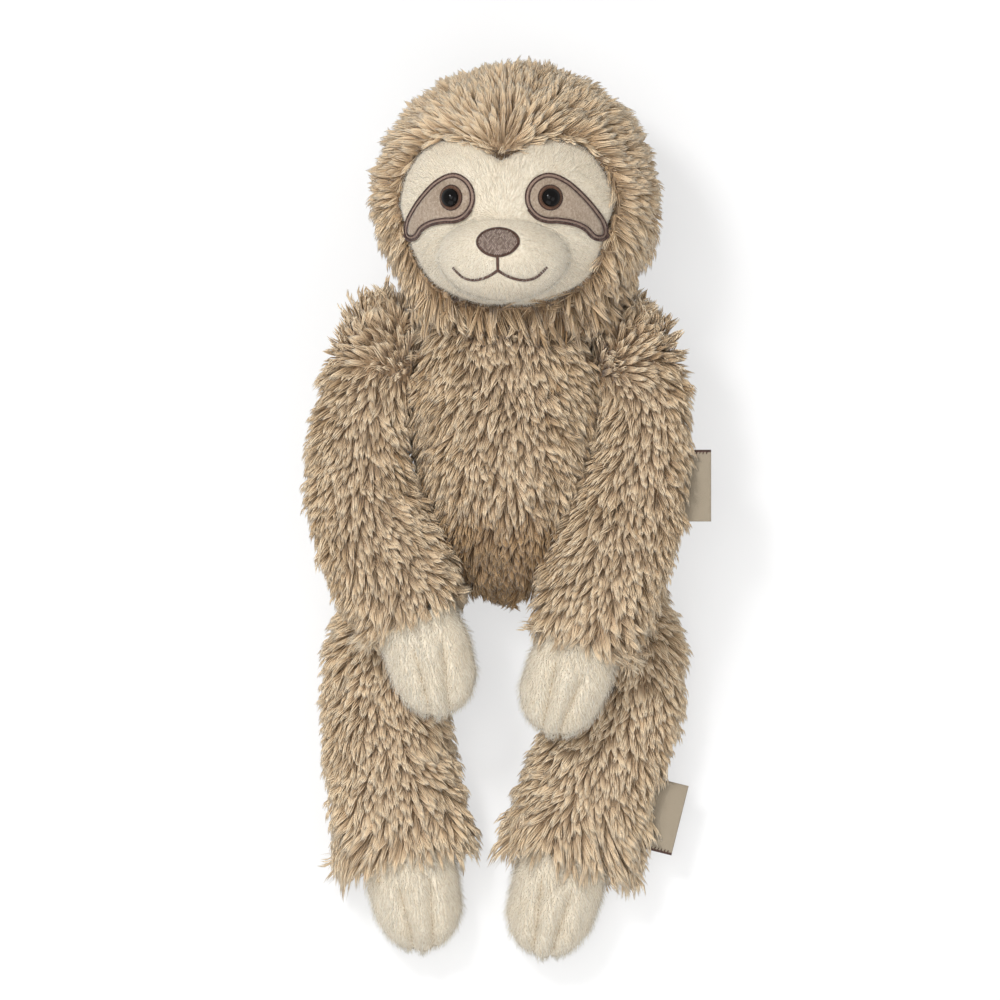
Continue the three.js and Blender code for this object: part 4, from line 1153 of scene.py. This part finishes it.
def sewTree():
    tree, given, result = newGroup("sewStitches", "Geometry", {
        "Geometry": "Geometry", "stitch": "Object", "unevenness": "Float", "seed": "Int", "finish": "Material"},
        {"Geometry": "Geometry"})
    stitch = madeBy(tree, "GeometryNodeObjectInfo", {"Object": given["stitch"]}, "Geometry")
    sewn = madeBy(tree, "GeometryNodeInstanceOnPoints", {
        "Points": given["Geometry"], "Instance": stitch,
        "Rotation": standing(tree, named(tree, "up", "FLOAT_VECTOR"), named(tree, "way", "FLOAT_VECTOR")),
        "Scale": named(tree, "stitchSize", "FLOAT_VECTOR")})
    chance = madeBy(tree, "FunctionNodeRandomValue", {"Seed": given["seed"]}, 1, data_type="FLOAT")
    spread = calc(tree, "MULTIPLY", calc(tree, "SUBTRACT", chance, 0.5), given["unevenness"])
    tone = calc(tree, "ADD", named(tree, "tone"), spread, clamp=True)
    return finishTree(tree, sewn, tone, given["finish"], result)


oneStitch, sewStitches = stitchShape(), sewTree()


def stitchRow(places, ways, ups, size, tone):
    # stitches with their size in mm: length, width and height
    count = len(places)
    return (np.array(places), np.array(ways), np.broadcast_to(ups, (count, 3)),
            np.tile([s * mm for s in size], (count, 1)), np.full(count, tone))


def sew(name, body, slot, material, rows, *standsFor, unevenness=0.5):
    places, ways, ups, sizes, tones = [np.concatenate(parts) for parts in zip(*rows)]
    piece = meshPiece(name, places, [])
    storeValues(piece.data, way=ways, up=ups, stitchSize=sizes, tone=tones)
    values = {"stitch": oneStitch, "unevenness": unevenness, "seed": 3, "finish": material}
    piece.data = runTree(piece, sewStitches, name, values)
    mapStrands(piece.data)
    return finishPiece(piece, body, material, slot, *standsFor)


def faceRow(line, gap, size, rise, tone, closed=False, across=False, depth=fullDepth):
    # stitches along a line of the face, or across it
    flat, way = evenly(line, gap, closed)
    if across:
        way = columns(way[:, 1], -way[:, 0])
    places, ups = onHead(flat, rise, depth)
    ahead, _ = onHead(flat + way * 0.2, rise, depth)
    return stitchRow(places, unit(ahead - places), ups, size, tone)


def lowerEdge(line):
    # the edge under the patch, from its round end out to the tail
    outline = movedOut(line, 2.1)
    chosen = outline[(runOf(outline)[:, 0] > 0.25) & (outline[:, 1] < patchLook["eye"][1] - 4)]
    return chosen[np.argsort(chosen[:, 0])]


patchClothLook = {"grow": 0.35, "rise": 1.05, "thick": 0.8 * mm, "clearOfEye": 4.4}
patchPileLook = {"spacing": 0.5 * mm, "length": 1.1 * mm, "height": 0.35 * mm, "width": 0.2 * mm}
borderLook = [
    # out from the patch, gap, stitch, rise, tone, across: a paler satin band between two dark lines
    (1.2, 0.3, (1.1, 0.36, 0.5), 0.75, 0.95, True),
    (0.55, 0.6, (0.95, 0.66, 0.7), 1.1, 0.05, False),
    (1.95, 0.6, (0.95, 0.75, 0.8), 0.8, 0.05, False),
]


def makePatch(side):
    line, look = patchLines[side], patchClothLook
    flat, faces = flatMesh(evenly(movedOut(line, look["grow"]), 0.8, closed=True)[0], 1.0)
    points, _ = onHead(flat, look["rise"], faceDepth)
    patch = meshPiece(f"eyePatch.{side}", points, faces)
    thicken(patch, look["thick"])
    local, normals = toHead(pointArray(patch.data)), normalArray(patch.data)
    x, y, _ = local.T
    comb = alongSkin(columns(x, y * -0.2 - 6, 0.0) @ headTurn.T, normals)
    eyeX, eyeY = patchLook["eye"]
    fromEye = np.hypot(x - sides[side] * eyeX, y - eyeY) - look["clearOfEye"]
    edge = np.where((normals @ headTurn)[:, 2] > 0.1, np.minimum(fromEye, -outsideBy(local[:, :2], line)), -1)
    plushOnFace(patch, f"patchPile.{side}", edge, comb, slot="patch_plush", material=patchPile, **patchPileLook)
    finishPiece(patch, "head", patchCloth, "patch_plush", f"eye_patch_{side}")

    rows = [faceRow(movedOut(line, out), gap, stitch, rise, tone, True, across, faceDepth)
            for out, gap, stitch, rise, tone, across in borderLook]
    # and a heavier line under the tail
    rows.append(faceRow(lowerEdge(line), 0.6, (1.0, 1.3, 0.8), 1.1, 0.05, depth=faceDepth))
    sew(f"eyeBorder.{side}", "head", "brown_thread", borderThread, rows, f"eye_border_{side}", unevenness=0.25)


# ---- eyes ----
eyeLook = {"radius": 3.5, "base": 1.4, "rim": 1.2, "dome": 3.0, "shank": 1.6, "shankLength": 11.5, "steps": 14}
ringLook = [
    # radius, rise, length, count, width, tone, across the ring
    (4.05, 1.15, 1.3, 60, 0.5, 0.75, True),
    (4.75, 1.0, 0.8, 44, 0.75, 0.0, False),
]


def turnedPiece(name, profile, seat, outwards, around=40):
    # a profile turned about its own axis, closed at both ends
    angles = [2 * math.pi * j / around for j in range(around)]
    points = [(radius * math.cos(angle), radius * math.sin(angle), height)
              for radius, height in profile for angle in angles]
    points += [(0, 0, profile[0][1]), (0, 0, profile[-1][1])]
    faces = tubeFaces(len(profile), around)
    first, last = len(points) - 2, (len(profile) - 1) * around
    for j in range(around):
        following = (j + 1) % around
        faces += [(first, following, j), (first + 1, last + j, last + following)]
    place = Matrix.Translation(seat) @ Vector((0, 0, 1)).rotation_difference(outwards).to_matrix().to_4x4()
    piece = meshPiece(name, [place @ (Vector(p) * mm) for p in points], faces)
    faceOutwards(piece)
    piece.data.set_sharp_from_angle(angle=math.radians(50))
    return piece


def makeEye(side):
    flat = np.array([[sides[side] * patchLook["eye"][0], patchLook["eye"][1]]])
    seat, outwards = [Vector(found[0]) for found in onHead(flat, 0.0, faceDepth)]
    radius, base, shank = eyeLook["radius"], eyeLook["base"], eyeLook["shank"]
    low = base + eyeLook["rim"]
    profile = [(shank, base - eyeLook["shankLength"]), (shank, base - 0.4), (radius - 0.3, base - 0.3), (radius, base),
               (radius, low)]
    rise = eyeLook["dome"] - eyeLook["rim"]
    ball = (radius ** 2 + rise ** 2) / (2 * rise)  # the dome is a cap of a ball this big
    for k in range(1, eyeLook["steps"]):
        turn = math.asin(radius / ball) * (1 - k / eyeLook["steps"])
        profile.append((ball * math.sin(turn), low + rise - ball * (1 - math.cos(turn))))
    eye = turnedPiece(f"eye.{side}", profile, seat, outwards)
    finishPiece(eye, "head", blackPlastic, "black_plastic", f"eye_{side}")

    # the ring: satin stitches out from the eye, and a line of stitches round them
    rows = []
    across = outwards.orthogonal().normalized()
    for distance, rise, length, count, width, tone, satin in ringLook:
        ways = [Matrix.Rotation(2 * math.pi * k / count, 3, outwards) @ across for k in range(count)]
        places = [seat + way * distance * mm + outwards * rise * mm for way in ways]
        ways = ways if satin else [way.cross(outwards) for way in ways]
        rows.append(stitchRow(places, ways, outwards, (length, width, 0.6), tone))
    sew(f"eyeRing.{side}", "head", "brown_thread", ringThread, rows, f"eye_ring_{side}", unevenness=0.35)
    washer = cadNodes[f"eye_washer_{side}"]
    washer.material_slots[0].link = "OBJECT"
    washer.material_slots[0].material = whitePlastic


for side in sides:
    makePatch(side)
for side in sides:
    makeEye(side)


# ---- nose and mouth ----
def noseBulge(flat):
    return np.sqrt(np.clip(1 - ((flat / noseHalf) ** 2).sum(1), 0, 1)) * noseLook["bulge"]


def makeNose():
    # a cushion of thread with stitches all over it and satin stitches round its edge
    look, body = noseLook, "head"
    flat, faces = flatMesh(noseMiddle + (noseLine - noseMiddle) * look["ground"], 0.7)
    points, _ = onHead(flat, 0.25 + noseBulge(flat - noseMiddle))
    cushion = meshPiece("noseGround", points, faces)
    thicken(cushion, look["thick"])
    storeValues(cushion.data, shade=0.25)
    finishPiece(cushion, body, noseThread, "nose_thread", "nose_embroidery")
    (wide, tall), (sideGap, rowGap) = noseHalf, look["gaps"]
    grid = np.array([(u + sideGap / 2 * (j % 2), v) for j, v in enumerate(np.arange(-tall, tall, rowGap))
                     for u in np.arange(-wide, wide, sideGap)])
    grid = grid[((grid / (noseHalf - look["margin"])) ** 2).sum(1) < 1]
    rise = 0.35 + noseBulge(grid)
    places, ups = onHead(noseMiddle + grid, rise)
    ahead, _ = onHead(noseMiddle + grid + (0.03, 0.2), rise)
    rows = [stitchRow(places, unit(ahead - places), ups, look["fill"], 0.6)]
    sew("noseFill", body, "nose_thread", noseThread, rows, unevenness=1.5)
    edge = noseMiddle + (noseLine - noseMiddle) * look["edge"]
    rows = [faceRow(edge, look["edgeGap"], look["edgeStitch"], 0.5, 0.35, True, True)]
    sew("noseEdge", body, "nose_thread", brownThread, rows, unevenness=0.9)


makeNose()
mouthRows = [faceRow(line, mouthLook["gap"], mouthLook["stitch"], 0.35, 0.5) for line in mouthLines]
sew("mouthLine", "head", "brown_thread", brownThread, mouthRows, "mouth_embroidery", unevenness=0.8)


# ---- stitches in the grooves of hands and feet ----
def makeGrooveStitches(paw, side):
    name, line = f"{paw}Cover.{side}", pawStitch[paw]
    tree = treeOf(skins[name])
    for which, (start, end) in zip(lineNames, pawLines[paw, side]):
        flat, way = evenly(np.array([start, end]) / mm, grooveLook["gap"])
        places, ups, ways = [], [], []
        for spot, ahead in zip(flat * mm, way):
            hit, normal, _, _ = tree.ray_cast(Vector((*spot, 0.2)), Vector((0, 0, -1)))
            if hit is None:  # past the tip
                continue
            ahead = Vector((*ahead, 0))
            places.append(hit + normal * 0.05 * mm)
            ups.append(normal)
            ways.append((ahead - normal * ahead.dot(normal)).normalized())
        row = stitchRow(places, ways, np.array(ups), grooveLook["stitch"], 0.4)
        sew(f"{line}Stitches.{side}.{which}", bodyOf[name], "cream_thread", creamThread, [row],
            f"{line}_stitch_{side}_{which}")


for paw in pawStitch:
    for side in sides:
        makeGrooveStitches(paw, side)
print("embroidery ready")


# ---- woven labels: a ribbon folded double ----
labelLook = {"ply": 0.36 * mm, "gap": 0.42 * mm, "width": 28 * mm, "wave": 0.35 * mm, "yarns": 14, "grid": 25,
             "stitchGap": 1.3 * mm, "stitch": (1.6, 0.5, 0.3), "plain": (0.29, 0.24, 0.175),
             "raised": (0.49, 0.42, 0.32), "rim": (0.08, 0.045, 0.035)}


def ribbonMaterial():
    material, tree, shader = startMaterial("wovenRibbon", Roughness=0.6, Sheen_Weight=0.15, Specular_IOR_Level=0.15)
    places = madeBy(tree, "ShaderNodeUVMap", uv_map="weave")
    warp, weft = [madeBy(tree, "ShaderNodeTexWave", {
        "Vector": places, "Scale": scale, "Distortion": 0.6, "Detail": 1.0}, "Fac", bands_direction=way)
        for way, scale in (("X", 16.0), ("Y", 9.0))]
    relief = calc(tree, "MULTIPLY", warp, weft)
    cloth = rampOf(tree, relief, (0.0, labelLook["plain"]), (0.8, labelLook["raised"]))
    edge = rampOf(tree, attributeValue(tree, "rim"), (0.45, (0, 0, 0)), (0.55, white))
    colour = mixColour(tree, edge, cloth, (*labelLook["rim"], 1), "MIX")
    finishShader(tree, shader, colour, relief, distance=0.1 * mm)
    return material


def ribbonPath(start, reach, half):
    # one ply outwards, round the fold and back
    shares = np.arange(14) / 13
    x, z = start + (reach - 2 * half) * shares, -half * (0.7 + 0.5 * np.sin(2.6 * shares))
    turn = math.pi * np.arange(1, 8) / 8
    return columns(np.hstack([x, x[-1] + half * 1.6 * np.sin(turn), x[::-1]]),
                   np.hstack([z, z[-1] * np.cos(turn), -z[::-1]]))


def makeLabel(name, node, turn, body, darkEnd):
    # laid out with its length outwards and its width down the limb, as the frame has it
    turned = np.array(Matrix.Rotation(math.radians(turn), 3, "Z"))
    local = pointArray(cadNodes[node].data) @ turned
    low, high = local.min(0), local.max(0)
    middle, reach, wide = (low + high) / 2, high[0] - low[0], (high[1] - low[1]) / 2
    half, count = (labelLook["gap"] + labelLook["ply"]) / 2, labelLook["grid"]
    path = ribbonPath(low[0], reach, half)
    share, step = [grid.ravel() for grid in np.meshgrid(np.linspace(-1, 1, count), np.arange(len(path)))]
    x, z = path[step].T
    wave = labelLook["wave"] * np.sin(3.1 * share + 0.6) * (x - low[0]) / reach
    points = columns(x, middle[1] + share * wide, middle[2] + z + wave)
    faces = [(a, a + count, a + count + 1, a + 1) for a in range(len(points) - count) if (a + 1) % count]
    label = meshPiece(name, points @ turned.T, faces)
    storeValues(label.data, rim=smoothStep(share * darkEnd, 0.9, 0.94))
    storeMap(label.data, "weave", columns(share * labelLook["yarns"], step))
    thicken(label, labelLook["ply"], 0)
    faceOutwards(label)
    finishPiece(label, body, ribbon, "woven_ribbon", node)

    along = np.arange(low[0] + 4 * mm, high[0] - 1 * mm, labelLook["stitchGap"])
    places = columns(along, middle[1] + darkEnd * wide * 0.93, middle[2] + half + 0.25 * mm) @ turned.T
    ways = np.tile((0.3, 1, 0) @ turned.T, (len(along), 1))
    row = stitchRow(places, ways, (0, 0, 1), labelLook["stitch"], 0.4)
    stitches = sew(f"{name}Stitches", body, "brown_thread", brownThread, [row])


ribbon = ribbonMaterial()
makeLabel("armLabel", "arm_label", 0, "arm_left", 1)
makeLabel("legLabel", "leg_label", -14, "leg_left", -1)
print("labels ready")
